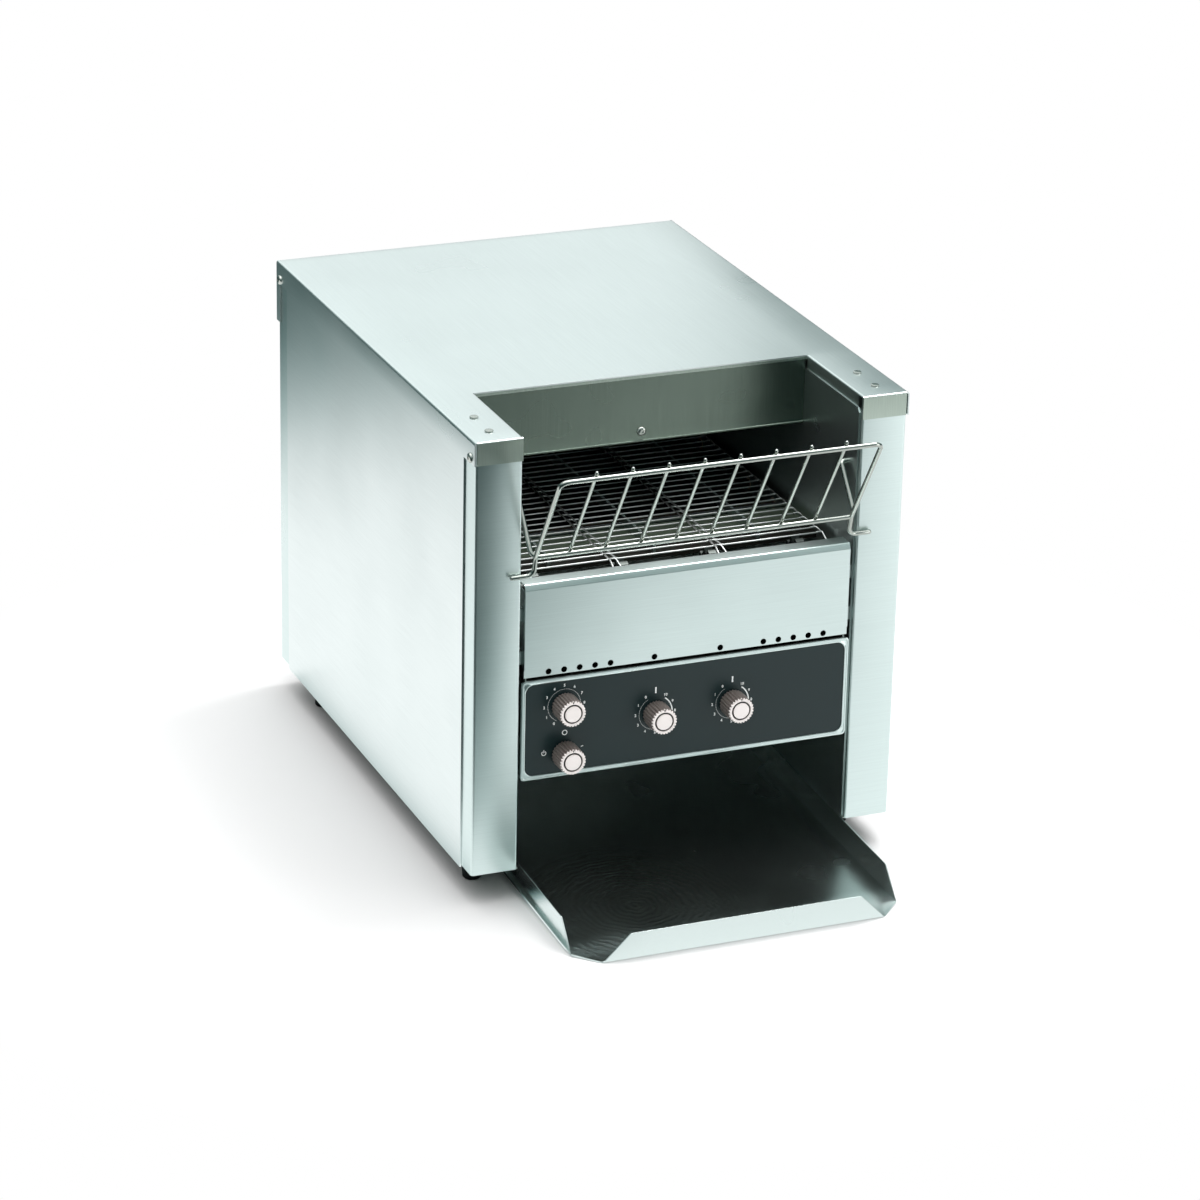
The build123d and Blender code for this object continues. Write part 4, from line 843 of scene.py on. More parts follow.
class ControlPanelOperator(bpy.types.Operator):
    """Control panel: a raised bright frame round a dark printed plate"""

    bl_idname = "toaster.control_panel"
    bl_label = "Control panel"

    def execute(self, context):
        half = span("control_frame", 0)[1]
        front, back = span("control_frame", 1)
        x, _, drop = middle("control_frame")
        height = sum(span("control_frame", 2) * np.array([-0.5, 0.5]))
        border, plate = 4.4, span("control_plate", 1)[0]
        rings = [
            (half, height, 4.0, back),
            (half, height, 4.0, front + 0.5),
            (half - 0.15, height - 0.15, 3.85, front + 0.15),
            (half - 0.5, height - 0.5, 3.5, front),
            (half - 1.4, height - 1.4, 3.5, front),
            (half - 1.8, height - 1.8, 4.5, front + 0.6),
            (half - 2.9, height - 2.9, 8.0, front + 0.6),
            (half - 3.3, height - 3.3, 9.2, front),
            (half - border + 0.5, height - border + 0.5, 9.5, front),
            (half - border + 0.15, height - border + 0.15, 9.15, front + 0.15),
            (half - border, height - border, 9.0, front + 0.5),
            (half - border, height - border, 9.0, back),
        ]
        loops = np.stack([lift(box_loop(w, h, r), 1, level) + (x, 0, drop) for w, h, r, level in rings])
        build(
            "control_frame_ring",
            [skin(loops, closed_columns=True)],
            "belt_ground_front",
            "cabinet",
            ["control_frame"],
            crease=30,
        )
        outline = box_loop(half - border, height - border, 9.0) + (x, drop)
        sheet = bar(outline, 1, plate, back - 0.1)
        build("control_plate_sheet", [sheet], "printed_plate", "cabinet", ["control_plate"])
        self.print_marks(plate - 0.06)
        return {"FINISHED"}

    def print_marks(self, level):
        """Printed marks: dashed rings, pointer lines and plain numbers round the dials, a heavier arc where
        the heat is greatest, and the usual off and standby marks by the power knob. Angle 0 is up and grows
        clockwise; the speed dial counts clockwise and the heat dials anticlockwise."""
        ring, numbers, ink = 17.8, 21.8, 0.36
        parts = []
        x, _, drop = middle("speed_knob")
        for angle in range(-150, 151, 6):
            parts.append(self.arc(x, drop, ring, ink, angle - 1.7, angle + 1.7, level))
        for value in range(11):
            parts.append(self.number(value, x, drop, numbers, 30 * value - 150, level))
        for node in ("top_heat_knob", "bottom_heat_knob"):
            x, _, drop = middle(node)
            parts.append(self.line(x, drop, 0, 22.0, 28.6, 1.6, level))
            parts.append(self.arc(x, drop, ring + 0.8, 1.3, 34, 100, level))
            for angle in range(102, 331, 6):
                parts.append(self.arc(x, drop, ring, ink, angle - 1.7, angle + 1.7, level))
            for value in range(11):
                parts.append(self.number(value, x, drop, numbers, -30 * (value + 1), level))
        x, _, drop = middle("power_knob")
        parts.append(self.arc(x, drop - 22.9, 2.5, 0.8, 0, 360, level))
        parts.append(self.line(x, drop, 75, 18.6, 21.2, 0.7, level))
        x, drop = x - 22.3, drop - 3.0
        parts.append(self.arc(x, drop, 2.3, 0.7, 35, 325, level))
        parts.append(self.line(x, drop, 0, 0.2, 3.4, 0.7, level))
        build("dial_marks", parts, "screen_ink", "cabinet", crease=30)

    def line(self, x, drop, angle, inner, outer, width, level):
        """A short bar that points away from a centre."""
        angle = np.radians(angle)
        out = np.array([np.sin(angle), -np.cos(angle)])
        side = np.array([out[1], -out[0]]) * width / 2
        ends = [out * inner - side, out * outer - side, out * outer + side, out * inner + side]
        return bar(np.array(ends) + (x, drop), 1, level, level + 0.1)

    def arc(self, x, drop, radius, width, first, last, level):
        """A band that follows a circle from one angle to another: the circle's point times radius plus or
        minus half the width, at the ink's front and back."""
        turn = np.radians(np.linspace(first, last, max(3, int((last - first) / 6))))
        out = np.stack([np.sin(turn), 0 * turn, -np.cos(turn)], -1)
        edge = np.array([radius - width / 2, radius + width / 2, radius + width / 2, radius - width / 2])
        deep = np.array([level, level, level + 0.1, level + 0.1])
        return stack(out[:, None] * edge[:, None] + np.stack([x + 0 * deep, deep, drop + 0 * deep], -1))

    def number(self, value, x, drop, radius, angle, level):
        """A number 2.9 mm tall, upright, centred at an angle and radius from a dial's middle."""
        curve = bpy.data.curves.new("number", "FONT")
        curve.body = str(value)
        curve.size = 4.2
        curve.align_x, curve.align_y = "CENTER", "CENTER"
        curve.extrude = 0.05
        curve.offset = 0.07
        curve.resolution_u = 3
        writer = bpy.data.objects.new("number", curve)
        mesh = bpy.data.meshes.new_from_object(writer)
        mesh.calc_loop_triangles()
        points = np.zeros(3 * len(mesh.vertices), np.float32)
        mesh.vertices.foreach_get("co", points)
        faces = np.zeros(3 * len(mesh.loop_triangles), np.int32)
        mesh.loop_triangles.foreach_get("vertices", faces)
        bpy.data.objects.remove(writer)
        bpy.data.curves.remove(curve)
        bpy.data.meshes.remove(mesh)
        points = points.reshape(-1, 3)
        angle = np.radians(angle)
        across = x + radius * np.sin(angle) + points[:, 0]
        fall = drop - radius * np.cos(angle) - points[:, 1]
        return np.stack([across, level + 0.05 - points[:, 2], fall], -1), [faces.reshape(-1, 3)]


# ================================================================ controls
class KnobsOperator(bpy.types.Operator):
    """Four fluted knobs in one lacquer: faces painted brighter as painted light and skirts darker as painted
    shade, painted shade in the cap's groove, and a small dark pointer
    """

    bl_idname = "toaster.knobs"
    bl_label = "Knobs"

    # Depth between two ribs, and where the cap's groove counts as deep enough for its painted shade, in
    # millimetres.
    FLUTE_DEPTH = 1.8
    RING_DEPTH, RING_REACH = 0.9, 11
    # Radius, depth behind the face and share of the flutes' depth, in millimetres.
    FACE = [
        (14.0, 1.6, 1.0), (13.8, 0.7, 1.0), (13.4, 0.15, 0.9), (12.9, 0.0, 0.5), (12.3, 0.0, 0.0),
        (10.6, 0.3, 0.0), (10.2, 0.8, 0.0), (10.0, 1.9, 0.0), (8.9, 1.9, 0.0), (8.7, 0.6, 0.0),
        (8.5, 0.15, 0.0), (8.1, 0.0, 0.0), (5.0, 0.1, 0.0), (0.01, 0.15, 0.0),
    ]

    def execute(self, context):
        flutes = context.scene.toaster_sizes.flutes
        for name in ("speed", "power", "top_heat", "bottom_heat"):
            node, dial = f"{name}_knob", f"{name}_dial"
            centre = middle(node)
            front, back = span(node, 1)
            centre[1] = front
            length = back - front
            rim = [(10.0, length, 0.0), (13.9, length, 0.6), (14.4, length - 0.6, 1.0)]
            skirt = self.fluted(rim + [(14.3, 9.0, 1.0), (14.0, 1.6, 1.0)], centre, flutes)
            # The skirt takes the lacquer's darker copy and the face its brighter one: painted shade and
            # painted light.
            build(f"{name}_knob_skirt", [skirt], "lacquered_skirt", dial, [node], crease=50)
            cap = self.fluted(self.FACE, centre, flutes)
            face = build(f"{name}_knob_face", [cap], "lacquered_cap", dial, crease=30)
            self.paint_ring(face.data, in_row(centre))
            wedge = np.array([(-0.9, -13.3), (0.9, -13.3), (0.2, -11.2), (-0.2, -11.2)]) + centre[[0, 2]]
            pointer = bar(wedge, 1, front - 0.05, front + 0.3)
            build(f"{name}_knob_pointer", [pointer], "moulded_phenolic", dial)
        return {"FINISHED"}

    def paint_ring(self, mesh, centre):
        """Painted shade on the faces in the groove round the cap: those deep enough and near enough to the
        knob's axis."""
        mesh.materials.append(finish_of("dark_ring"))
        middles = np.zeros(3 * len(mesh.polygons), np.float32)
        mesh.polygons.foreach_get("center", middles)
        deep = middles[1::3] > centre[1] + self.RING_DEPTH * MM
        near = np.hypot(middles[::3] - centre[0], middles[2::3] - centre[2]) < self.RING_REACH * MM
        mesh.polygons.foreach_set("material_index", (deep & near).astype(np.int32))

    def fluted(self, rows, centre, flutes):
        """Rows of (radius, depth, share) turned about the knob's axis: the radius falls between ribs by the
        flutes' depth times the share times (1 - |cos(half the flute's angle)|)."""
        rows = np.array(rows)
        turn = np.linspace(0, 2 * np.pi, flutes * 10, endpoint=False)
        radius = rows[:, :1] - rows[:, 2:] * self.FLUTE_DEPTH * (1 - np.abs(np.cos(turn * flutes / 2)))
        depth = np.broadcast_to(rows[:, 1:2], radius.shape)
        points = np.stack([radius * np.sin(turn), depth, -radius * np.cos(turn)], -1) + centre
        return skin(points, closed_columns=True)


# ================================================================ belt
class BeltOperator(bpy.types.Operator):
    """Flat-flex wire belt: rows of wire that step back at each lane's edge to hook round the next row"""

    bl_idname = "toaster.belt"
    bl_label = "Conveyor belt"

    def execute(self, context):
        wire = context.scene.toaster_sizes.belt_wire / MM
        half = span("conveyor_belt", 0)[1]
        pitch, straight, turns = 14.5, 33, 4
        radius = pitch / (2 * np.sin(np.pi / 8))
        nose = middle("front_shaft")[1]
        top = middle("front_shaft")[2] - radius
        rows = 2 * (straight + turns)
        lane = 2 * half / 3
        across, step, out = self.row_path(half, lane)
        q = np.arange(rows)[:, None] + step[None]
        depth, drop, outward = self.around(q, nose, top, pitch, straight, turns, radius)
        lift_by = out[None] * wire * 0.5
        depth, drop = depth + lift_by * outward[..., 0], drop + lift_by * outward[..., 1]
        paths = np.stack([np.broadcast_to(across, q.shape), depth, drop], -1)
        wires = tubes(paths, wire / 2, 8, (0.05, 0.71, 0.70))
        build("belt_wires", [wires], "belt_wire", "cabinet", ["conveyor_belt"], crease=80)
        return {"FINISHED"}

    def row_path(self, half, lane):
        """Across, step along the belt in pitches, and height out of the belt, along one row of wire."""
        knee, back = 1.8, 1.12
        left = [(-half + 6.0, 0.93, -0.9), (-half + 1.6, 1.0, -0.9), (-half, 0.9, -0.7)]
        left += [(-half, 0.1, 0.0), (-half + 1.5, 0.0, 0.0)]
        bend = [(-knee, 0.0, 0.0), (0.0, 0.12, 0.0), (0.5, back - 0.12, 0.8), (1.6, back, 0.2)]
        z_bends = []
        for middle_x in (-lane / 2, lane / 2):
            a, b = middle_x - 4.2, middle_x + 4.2
            z_bends += [(a + x, step, out) for x, step, out in bend]
            z_bends += [(b - x, step, -out) for x, step, out in bend[::-1]]
        right = [(-x, step, -out) for x, step, out in left[::-1]]
        path = np.array(left + z_bends + right)
        return path[:, 0], path[:, 1], path[:, 2]

    def around(self, q, nose, top, pitch, straight, turns, radius):
        """Depth, drop and outward direction at q pitches round the loop: along the upper run, half a circle
        round the rear shaft, back along the lower run, and half a circle round the nose."""
        loop = 2 * (straight + turns)
        q = q % loop
        rear, middle_drop = nose + straight * pitch, top + radius
        lower = q >= straight + turns
        s = np.where(lower, q - straight - turns, q)
        angle = np.clip(s - straight, 0, turns) * np.pi / turns
        run = np.minimum(s, straight) * pitch
        sign = np.where(lower, -1, 1)
        start = np.where(lower, rear, nose)
        depth = start + sign * (run + radius * np.sin(angle))
        drop = middle_drop - sign * radius * np.cos(angle)
        outward = np.stack([sign * np.sin(angle), -sign * np.cos(angle)], -1)
        return depth, drop, outward


# ================================================================ loading rack
class RackOperator(bpy.types.Operator):
    """Loading rack: a bent wire frame with hooks and tips, and eight welded bars"""

    bl_idname = "toaster.rack"
    bl_label = "Loading rack"

    def execute(self, context):
        sizes = context.scene.toaster_sizes
        wire, rod = sizes.rack_wire / MM, sizes.rack_bar / MM
        hook_end, tip_end = 195.0, 190.0
        side, leg = 172.0, 176.0
        top, bottom, hook, pivot = (-70.3, 24.2), (-6.8, 125.0), (-2.5, 145.8), (30.0, 78.0)
        frame_half = [(-hook_end, *hook), (-side, *hook), (-side, *bottom), (-side, *top)]
        base_half = [(-tip_end, *pivot), (-leg, *pivot), (-leg, *bottom)]
        parts = []
        for half, radii in ((frame_half, [8.0, 18.0, 8.0]), (base_half, [4.0, 8.0])):
            corners = np.array(half + [(-x, y, z) for x, y, z in half[::-1]])
            parts.append(tubes(rounded(corners, radii + radii[::-1], 8), wire / 2, 16))
        build("rack_frame_wire", parts, "polished_wire", "rack", ["rack_frame"], crease=80)
        run = np.array(bottom) - top
        length = np.linalg.norm(run)
        run = run / length
        outward = np.array([run[1], -run[0]])
        gap = (wire + rod) / 2 - 0.15
        along = np.array([-5.5 + rod / 2, 20, 60, length - 20, length + 2.5 - rod / 2])
        line = np.array(top) + along[:, None] * run + gap * outward
        across = (np.arange(8) - 3.5) * 2 * side / 9
        paths = np.zeros((8, len(along), 3))
        paths[..., 0] = across[:, None]
        paths[..., 1:] = line
        welds = []
        for place in (np.array(top), np.array(bottom)):
            spot = place + outward * wire / 2
            for x in across:
                beads = np.array([(x - 2.6, *spot), (x - 1.2, *spot), (x + 1.2, *spot), (x + 2.6, *spot)])
                welds.append(tubes(beads, 0.9, 8, (0.1, 0.7, 0.7)))
        rods = [tubes(paths, rod / 2, 14, (1, 0.01, 0.01))]
        parts = rods + welds
        build("rack_bar_rods", parts, "polished_wire", "rack", ["rack_bars"], crease=80)
        return {"FINISHED"}


# ================================================================ collection tray
class TrayOperator(bpy.types.Operator):
    """Collection tray: floor, side flanges and front lip folded from one sheet, mitred at the corners"""

    bl_idname = "toaster.tray"
    bl_label = "Collection tray"

    def execute(self, context):
        sizes = context.scene.toaster_sizes
        fold, gauge = sizes.fold / MM, sizes.thin_gauge / MM
        half, corner, mitre, flange, lip = span("collection_tray", 0)[1], 25.0, 28.6, 29.5, 29.0
        slope = np.radians(2.5)
        length = (162.3 + 330.0) / np.cos(slope)
        turn = np.linspace(0, np.pi / 2, 6)
        arc = np.stack([fold - fold * np.sin(turn), fold - fold * np.cos(turn)], -1)[::-1]
        front = np.concatenate([[(0, lip), (0, lip / 2)], arc])
        run = np.array([corner * 0.5, corner, corner + mitre / 2, corner + mitre, 150, 300, length])
        rows = np.concatenate([front, np.stack([run, np.zeros_like(run)], -1)])
        reach = half - corner - rows[:, 1] * mitre / lip + np.clip(rows[:, 0], 0, corner)
        height = np.clip((rows[:, 0] - corner) / mitre, 0, 1) * flange
        edge_fold = np.minimum(fold, height)
        side_x = np.stack([reach * 0, *[edge_fold * (1 - np.cos(t)) for t in turn[::-1]]], 1)
        side_z = np.stack([height, *[edge_fold * (1 - np.sin(t)) for t in turn[::-1]]], 1)
        across = np.concatenate([-(reach[:, None] - side_x), (reach[:, None] - side_x)[:, ::-1]], 1)
        up = np.concatenate([side_z, side_z[:, ::-1]], 1)
        out = rows[:, :1]
        rise = rows[:, 1:] + up
        depth = -162.3 + out * np.cos(slope) - rise * np.sin(slope)
        drop = SIDE_LOW + 32.0 - out * np.sin(slope) - rise * np.cos(slope)
        points = np.stack([across, depth, drop], -1)
        tray = build(
            "collection_tray_sheet",
            [skin(points)],
            "wiped_tray",
            "tray",
            ["collection_tray"],
            inside=(0, 100, SIDE_LOW + 5),
        )
        give_gauge(tray, gauge * MM, sizes.rounding)
        return {"FINISHED"}


# ================================================================ fasteners, feet and back
class FastenersOperator(bpy.types.Operator):
    """Rivets on the tabs, pan-head screws on the sides and the splash panel's screw"""

    bl_idname = "toaster.fasteners"
    bl_label = "Fasteners"

    def execute(self, context):
        tab = (NOTCH + HALF_WIDTH) / 2
        rivet = [(4.4, 0.3), (4.4, -1.0), (4.2, -1.3), (3.7, -1.42), (1.9, -1.55), (0.01, -1.6)]
        places = [(side * tab, depth, 0.0) for side in (-1, 1) for depth in (28.5, 70.5)]
        parts = [turned(rivet, place, 2, 32) for place in places]
        self.heads("tab_rivet_heads", parts, "tab_rivets")
        dome = [(5.2, 0.0), (5.2, 0.5), (4.9, 1.2), (4.2, 1.9), (3.2, 2.3), (1.8, 2.4)]
        pan = np.array(dome + [(1.7, 1.0), (0.01, 0.9)])
        parts = []
        for side in (-1, 1):
            for depth in (12.0, REAR - 12.0):
                parts.append(turned(pan * (1, side), (side * HALF_WIDTH, depth, 19.0), 0, 32))
        self.heads("side_screw_heads", parts, "shell_screws")
        place = (0.0, NOTCH_REAR + 0.4, middle("splash_screw")[2])
        screw = turned(pan * (1, -1), place, 1, 32)
        self.heads("splash_screw_head", [screw], "splash_screw")
        return {"FINISHED"}

    def heads(self, name, parts, node):
        """Heads of like fasteners, which take a CAD node's place."""
        build(name, parts, "plated_fastener", "cabinet", [node], crease=30)


class FeetOperator(bpy.types.Operator):
    """Four tapered rubber feet with a rounded tread"""

    bl_idname = "toaster.feet"
    bl_label = "Feet"

    def execute(self, context):
        top, low = span("feet", 2)
        across = span("feet", 0)[1] - 12.0
        depths = (span("feet", 1)[0] + 12.0, span("feet", 1)[1] - 12.0)
        tread = [(9.7, low - 1.5), (8.6, low - 0.2), (7.0, low), (0.01, low)]
        profile = [(0.01, top), (12.0, top), (12.0, top + 3)] + tread
        parts = [turned(profile, (side * across, depth, 0.0), 2, 36) for side in (-1, 1) for depth in depths]
        build("rubber_feet", parts, "moulded_rubber", "cabinet", ["feet"], crease=50)
        return {"FINISHED"}


class BackOperator(bpy.types.Operator):
    """Pressed louvre hoods over the back panel's slots, and the fan guard's wires"""

    bl_idname = "toaster.back"
    bl_label = "Back"

    def execute(self, context):
        face = span("back_panel", 1)[1]
        parts = []
        for side in (-1, 1):
            for row in range(8):
                drop = 70.0 + 14.0 * (row + 0.5)
                parts.append(self.hood(side * 110.0, face, drop))
        build("louvre_hoods", parts, "belt_ground_front", "cabinet", crease=60)
        x, _, drop = middle("fan_guard")
        level = span("fan_guard", 1)[1] - 1.2
        rings = []
        for radius in (12.0, 21.0, 30.0, 39.0):
            rings.append(turned_ring((x, level, drop), radius, 1.2))
        for angle in np.radians([45, 135, 225, 315]):
            out = np.array([np.cos(angle), 0, np.sin(angle)])
            hub = np.array((x, level - 1.6, drop))
            foot = np.array((x, face + 0.3, drop)) + 41.5 * out
            rings.append(tubes(np.array([hub, hub + 38 * out, foot]), 1.2, 10, (0.4, 0.5, 0.77)))
        build("fan_guard_wires", rings, "polished_wire", "cabinet", ["fan_guard"], crease=80)
        return {"FINISHED"}

    def hood(self, across, face, drop):
        """Half of a flattened egg above a slot: it swells by the root of the sine of the angle along it, and
        by the cosine of the angle up it."""
        along = np.linspace(0, np.pi, 17)[:, None]
        up = np.linspace(0, np.pi / 2, 7)[None]
        x = across + 33.0 * np.cos(along) * np.ones_like(up)
        swell = np.sin(along) ** 0.5
        depth = face + 3.2 * swell * np.cos(up)
        z = drop - 2.6 * np.ones_like(x) + 5.2 * (1 - np.sin(up) * swell) - 2.6
        return skin(np.stack([x, depth, z], -1))


def turned_ring(centre, radius, thick, sides=64, round_sides=10):
    """A wire ring about a line that runs front to back: a small circle carried round a large one."""
    turn = np.linspace(0, 2 * np.pi, sides, endpoint=False)[:, None]
    small = np.linspace(0, 2 * np.pi, round_sides, endpoint=False)[None]
    reach = radius + thick * np.cos(small)
    depth = thick * np.sin(small) + 0 * turn
    ring = np.stack([reach * np.cos(turn), depth, reach * np.sin(turn)], -1)
    ring = np.concatenate([ring, ring[:1]])
    return skin(ring + np.asarray(centre, float), closed_columns=True)


class InnerPartsOperator(bpy.types.Operator):
    """Finishes for the pieces that show as they were drawn"""

    bl_idname = "toaster.inner_parts"
    bl_label = "Inner parts"

    KEPT = {
        "mill_finish_wall": (
            "left_inner_wall", "right_inner_wall", "panel_brackets", "belt_rails",
        ),
        "heat_dulled_deck": ("front_deck",),
        "heat_dulled_chute": ("return_chute",),
        "belt_ground_front": ("back_panel",),
        "galvanised_sheet": ("base_pan", "control_box", "motor_bracket"),
        "browned_aluminised_sheet": ("upper_reflector", "lower_reflector"),
        "turned_steel": (
            "front_shaft", "front_sprockets", "drive_shaft", "drive_sprockets", "chain_wheel", "drive_chain",
            "motor_pinion", "motor_shaft", "shaft_bearings", "speed_spindle", "power_spindle",
            "top_heat_spindle", "bottom_heat_spindle",
        ),
        "oxidised_sheath": ("upper_heaters", "lower_heaters"),
        "unglazed_ceramic": ("heater_insulators",),
        "smoked_mineral_wool": ("top_insulation",),
        "enamelled_casting": ("gear_motor",),
        "moulded_phenolic": ("speed_control", "power_switch", "heat_regulators", "terminal_block"),
        "moulded_polyamide": ("fan_frame", "fan_rotor", "cable_gland"),
    }

    def execute(self, context):
        for finish, nodes in self.KEPT.items():
            for node in nodes:
                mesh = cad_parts[node].data
                mesh.materials.clear()
                mesh.materials.append(finish_of(finish))
        return {"FINISHED"}


# ================================================================ the studio
class ToasterStage(bpy.types.PropertyGroup):
    """Camera and floor of the studio"""

    azimuth: bpy.props.FloatProperty(
        name="Azimuth", description="Camera's turn to the left", default=np.radians(22.57), unit="ROTATION"
    )
    elevation: bpy.props.FloatProperty(
        name="Elevation",
        description="Camera's height as an angle",
        default=np.radians(22.09),
        unit="ROTATION",
    )
    roll: bpy.props.FloatProperty(
        name="Roll",
        description="Camera's lean about its line of sight",
        default=np.radians(1.27),
        unit="ROTATION",
    )
    lens: bpy.props.FloatProperty(
        name="Lens", description="Focal length on a 36 mm sensor", default=134.1, unit="CAMERA"
    )
    place: bpy.props.FloatVectorProperty(
        name="Place",
        description="Camera's place from the middle of the cabinet's top front edge",
        default=(-1.68912, -3.82509, 1.49853),
        subtype="TRANSLATION",
    )
    floor: bpy.props.FloatVectorProperty(
        name="Floor", description="Colour of the floor", default=linear("#F4F6F6"), size=4, subtype="COLOR"
    )


class StageOperator(bpy.types.Operator):
    """Camera, soft lamps, pale floor and pale surroundings"""

    bl_idname = "toaster.stage"
    bl_label = "Stage"

    def execute(self, context):
        settings = context.scene.toaster_stage
        self.add_camera(context.scene, settings)
        self.add_lamps(context.scene)
        self.add_floor(settings)
        self.add_world(context.scene)
        context.scene.view_settings.view_transform = "Standard"
        return {"FINISHED"}

    def add_camera(self, scene, settings):
        """The camera looks along its azimuth and elevation, and leans by its roll."""
        a, e, lean = settings.azimuth, settings.elevation, settings.roll
        ahead = Vector((np.sin(a) * np.cos(e), np.cos(a) * np.cos(e), -np.sin(e)))
        level = Vector((np.cos(a), -np.sin(a), 0))
        upright = level.cross(ahead)
        right = np.cos(lean) * level + np.sin(lean) * upright
        up = np.cos(lean) * upright - np.sin(lean) * level
        data = bpy.data.cameras.new("camera")
        data.lens = settings.lens
        data.sensor_width = 36
        data.clip_end = 50
        camera = bpy.data.objects.new("camera", data)
        matrix = Matrix((right, up, -ahead)).transposed().to_4x4()
        matrix.translation = Vector(settings.place) + Vector((0, FRONT, TOP))
        camera.matrix_world = matrix
        scene.collection.objects.link(camera)
        scene.camera = camera

    def add_lamps(self, scene):
        """A broad softbox overhead, a long one low behind the object, a key high on the right whose shadow
        falls to the left, and a low fill from the front right."""
        for name, place, aim, size, power in (
            ("overhead", (-0.1, 0.1, 2.3), (0, 0, 0), (2.2, 2.2), 30),
            ("rear", (0.17, 1.75, 1.15), (0.05, 0, 0.5), (1.6, 1.1), 3.7),
            ("key", (0.85, 0.25, 2.3), (0, 0, 0.2), (1.1, 1.1), 34),
            ("fill", (2.3, -2.2, 0.8), (0, 0, 0.2), (1.4, 1.2), 18),
        ):
            data = bpy.data.lights.new(name, "AREA")
            data.shape = "RECTANGLE"
            data.size, data.size_y = size
            data.energy = power
            lamp = bpy.data.objects.new(name, data)
            lamp.location = place
            lamp.rotation_mode = "QUATERNION"
            lamp.rotation_quaternion = (Vector(aim) - Vector(place)).to_track_quat("-Z", "Y")
            lamp.visible_camera = False
            scene.collection.objects.link(lamp)

    def add_floor(self, settings):
        """A square grid laid just under the feet. The camera sees the lit colour and its shadow, which give
        way to plain white further out; metal sees a white sweep whose far end and near left fade to grey."""
        half, level = 6.0, -0.0004
        line = np.linspace(-half, half, 13)
        x, y = np.meshgrid(line, line, indexing="ij")
        points = np.stack([x, y, np.full_like(x, level)], -1)
        material, tree = new_material("pale_sweep")
        rays = add_node(tree, "ShaderNodeLightPath")
        place = add_node(tree, "ShaderNodeTexCoord")
        split = add_node(tree, "ShaderNodeSeparateXYZ", None, {"Vector": place.outputs["Object"]})
        reach = add_node(tree, "ShaderNodeVectorMath", {"operation": "LENGTH"}, {0: place.outputs["Object"]})
        slant = add_node(
            tree,
            "ShaderNodeMath",
            {"operation": "MULTIPLY_ADD", 1: 0.6},
            {0: split.outputs["Y"], 2: split.outputs["X"]},
        )
        far = fade(tree, split.outputs["Y"], 0.9, 1.66, 1.14, 0.12)
        left = fade(tree, slant.outputs[0], -0.60, -0.33, 0.05, 0.96)
        near = fade(tree, split.outputs["Y"], -0.45, -0.38, 0.0, 1.0)
        front = add_node(tree, "ShaderNodeMix", {3: 1.0}, {0: near.outputs[0], 2: left.outputs[0]})
        open_sweep = add_node(
            tree, "ShaderNodeMath", {"operation": "MULTIPLY"}, {0: far.outputs[0], 1: front.outputs[0]}
        )
        beside = self.beside(tree, place)
        sweep = add_node(
            tree, "ShaderNodeMath", {"operation": "MULTIPLY"}, {0: open_sweep.outputs[0], 1: beside}
        )
        lit = add_node(tree, "ShaderNodeBsdfDiffuse", {"Color": tuple(settings.floor)})
        bright = add_node(tree, "ShaderNodeBsdfDiffuse", {"Color": (0.78, 0.78, 0.78, 1)})
        white = add_node(tree, "ShaderNodeEmission", {"Color": (1, 1, 1, 1), "Strength": 1.0})
        open_floor = fade(tree, reach.outputs[1], 0.5, 0.85, 0.0, 1.0)
        seen = add_node(
            tree,
            "ShaderNodeMixShader",
            None,
            {0: open_floor.outputs[0], 1: bright.outputs[0], 2: white.outputs[0]},
        )
        tint = self.tinted(tree, sweep)
        mirrored = add_node(
            tree, "ShaderNodeEmission", None, {"Color": tint, "Strength": sweep.outputs[0]}
        )
        shiny = self.mirror_rays(tree, rays)
        unseen = add_node(
            tree,
            "ShaderNodeMixShader",
            None,
            {0: shiny.outputs[0], 1: lit.outputs[0], 2: mirrored.outputs[0]},
        )
        last = add_node(
            tree,
            "ShaderNodeMixShader",
            None,
            {0: rays.outputs["Is Camera Ray"], 1: unseen.outputs[0], 2: seen.outputs[0]},
        )
        finish_material(tree, last)
        mesh = bpy.data.meshes.new("floor")
        mesh.from_pydata(points.reshape(-1, 3).tolist(), [], grid_faces(13, 13).tolist())
        mesh.materials.append(material)
        floor = bpy.data.objects.new("floor", mesh)
        bpy.context.scene.collection.objects.link(floor)

    def beside(self, tree, place):
        """0 on the floor under the cabinet, rising to 1 beside it, so that metal finds shade there."""
        low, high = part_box("outer_shell")
        moved = add_node(
            tree,
            "ShaderNodeVectorMath",
            {"operation": "SUBTRACT", 1: tuple((low + high) / 2)},
            {0: place.outputs["Object"]},
        )
        away = add_node(tree, "ShaderNodeVectorMath", {"operation": "ABSOLUTE"}, {0: moved.outputs[0]})
        split = add_node(tree, "ShaderNodeSeparateXYZ", None, {"Vector": away.outputs[0]})
        wide, long = (high.x - low.x) / 2, (high.y - low.y) / 2
        across = fade(tree, split.outputs["X"], wide - 0.02, wide + 0.06, 0.0, 1.0)
        along = fade(tree, split.outputs["Y"], long - 0.02, long + 0.03, 0.0, 1.0)
        return add_node(
            tree, "ShaderNodeMath", {"operation": "MAXIMUM"}, {0: across.outputs[0], 1: along.outputs[0]}
        ).outputs[0]

    def tinted(self, tree, level):
        """Near white where a mirrored level is high, and teal where it is low."""
        ends = {"data_type": "RGBA", 6: (0.5, 0.9, 0.88, 1), 7: (0.97, 1.0, 1.0, 1)}
        return add_node(tree, "ShaderNodeMix", ends, {0: level.outputs[0]}).outputs[2]

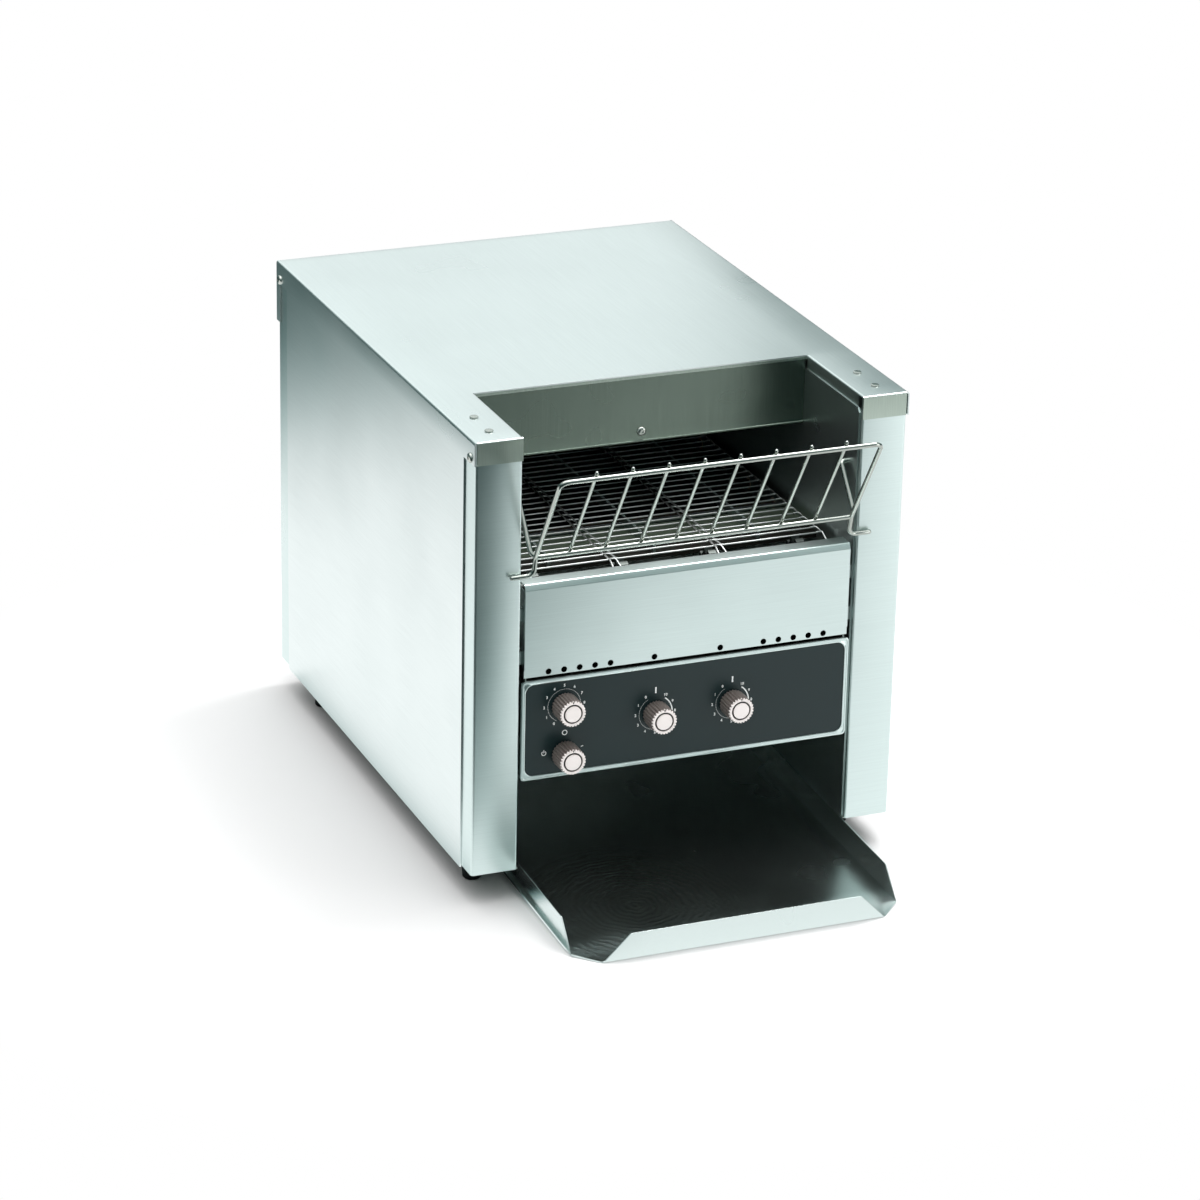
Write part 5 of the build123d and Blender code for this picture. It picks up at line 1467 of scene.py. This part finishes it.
    def mirror_rays(self, tree, rays):
        """Rays off metal or through glass."""
        return add_node(
            tree,
            "ShaderNodeMath",
            {"operation": "MAXIMUM"},
            {0: rays.outputs["Is Glossy Ray"], 1: rays.outputs["Is Transmission Ray"]},
        )

    def add_world(self, scene):
        """Surroundings: white where the camera sees them, a dim horizon under a white ceiling where metal
        and glass do, and a plain soft grey light on everything else."""
        world = bpy.data.worlds.new("studio")
        world.use_nodes = True
        tree = world.node_tree
        tree.nodes.clear()
        rays = add_node(tree, "ShaderNodeLightPath")
        place = add_node(tree, "ShaderNodeTexCoord")
        split = add_node(tree, "ShaderNodeSeparateXYZ", None, {"Vector": place.outputs["Generated"]})
        dome = fade(tree, split.outputs["Z"], 0.3, 0.95, 0.03, 1.55)
        soft = add_node(
            tree, "ShaderNodeBackground", {"Color": (1, 1, 1, 1)}, {"Strength": dome.outputs[0]}
        )
        height = fade(tree, split.outputs["Z"], 0.18, 0.8, 0.14, 1.0)
        tint = self.tinted(tree, height)
        mirror = add_node(
            tree, "ShaderNodeBackground", None, {"Color": tint, "Strength": height.outputs[0]}
        )
        white = add_node(tree, "ShaderNodeBackground", {"Color": (1, 1, 1, 1), "Strength": 1.0})
        shiny = self.mirror_rays(tree, rays)
        first = add_node(
            tree,
            "ShaderNodeMixShader",
            None,
            {0: shiny.outputs[0], 1: soft.outputs[0], 2: mirror.outputs[0]},
        )
        last = add_node(
            tree,
            "ShaderNodeMixShader",
            None,
            {0: rays.outputs["Is Camera Ray"], 1: first.outputs[0], 2: white.outputs[0]},
        )
        add_node(tree, "ShaderNodeOutputWorld", links={"Surface": last.outputs[0]})
        scene.world = world


# ================================================================ panel and start
OPERATORS = (
    ShellOperator,
    PostsOperator,
    SplashOperator,
    FrontPanelOperator,
    ControlPanelOperator,
    KnobsOperator,
    BeltOperator,
    RackOperator,
    TrayOperator,
    FastenersOperator,
    FeetOperator,
    BackOperator,
    InnerPartsOperator,
    StageOperator,
)


class ToasterPanel(bpy.types.Panel):
    """Lists the toaster's sizes and the operators that build it"""

    bl_idname = "VIEW3D_PT_toaster"
    bl_label = "Conveyor toaster"
    bl_space_type = "VIEW_3D"
    bl_region_type = "UI"
    bl_category = "Toaster"

    def draw(self, context):
        for settings in (context.scene.toaster_sizes, context.scene.toaster_stage):
            for name in type(settings).__annotations__:
                self.layout.prop(settings, name)
        for operator in OPERATORS:
            self.layout.operator(operator.bl_idname)


CLASSES = (ToasterSizes, ToasterStage, *OPERATORS, ToasterPanel)


def register():
    for kind in CLASSES:
        bpy.utils.register_class(kind)
    bpy.types.Scene.toaster_sizes = bpy.props.PointerProperty(type=ToasterSizes)
    bpy.types.Scene.toaster_stage = bpy.props.PointerProperty(type=ToasterStage)


def unregister():
    del bpy.types.Scene.toaster_stage
    del bpy.types.Scene.toaster_sizes
    for kind in reversed(CLASSES):
        bpy.utils.unregister_class(kind)


def main():
    """Builds everything in order."""
    register()
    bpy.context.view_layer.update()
    bpy.ops.toaster.shell()
    bpy.ops.toaster.posts()
    bpy.ops.toaster.splash()
    bpy.ops.toaster.front_panel()
    bpy.ops.toaster.control_panel()
    bpy.ops.toaster.knobs()
    bpy.ops.toaster.belt()
    bpy.ops.toaster.rack()
    bpy.ops.toaster.tray()
    bpy.ops.toaster.fasteners()
    bpy.ops.toaster.feet()
    bpy.ops.toaster.back()
    bpy.ops.toaster.inner_parts()
    bpy.ops.toaster.stage()


if __name__ == "__main__":
    main()
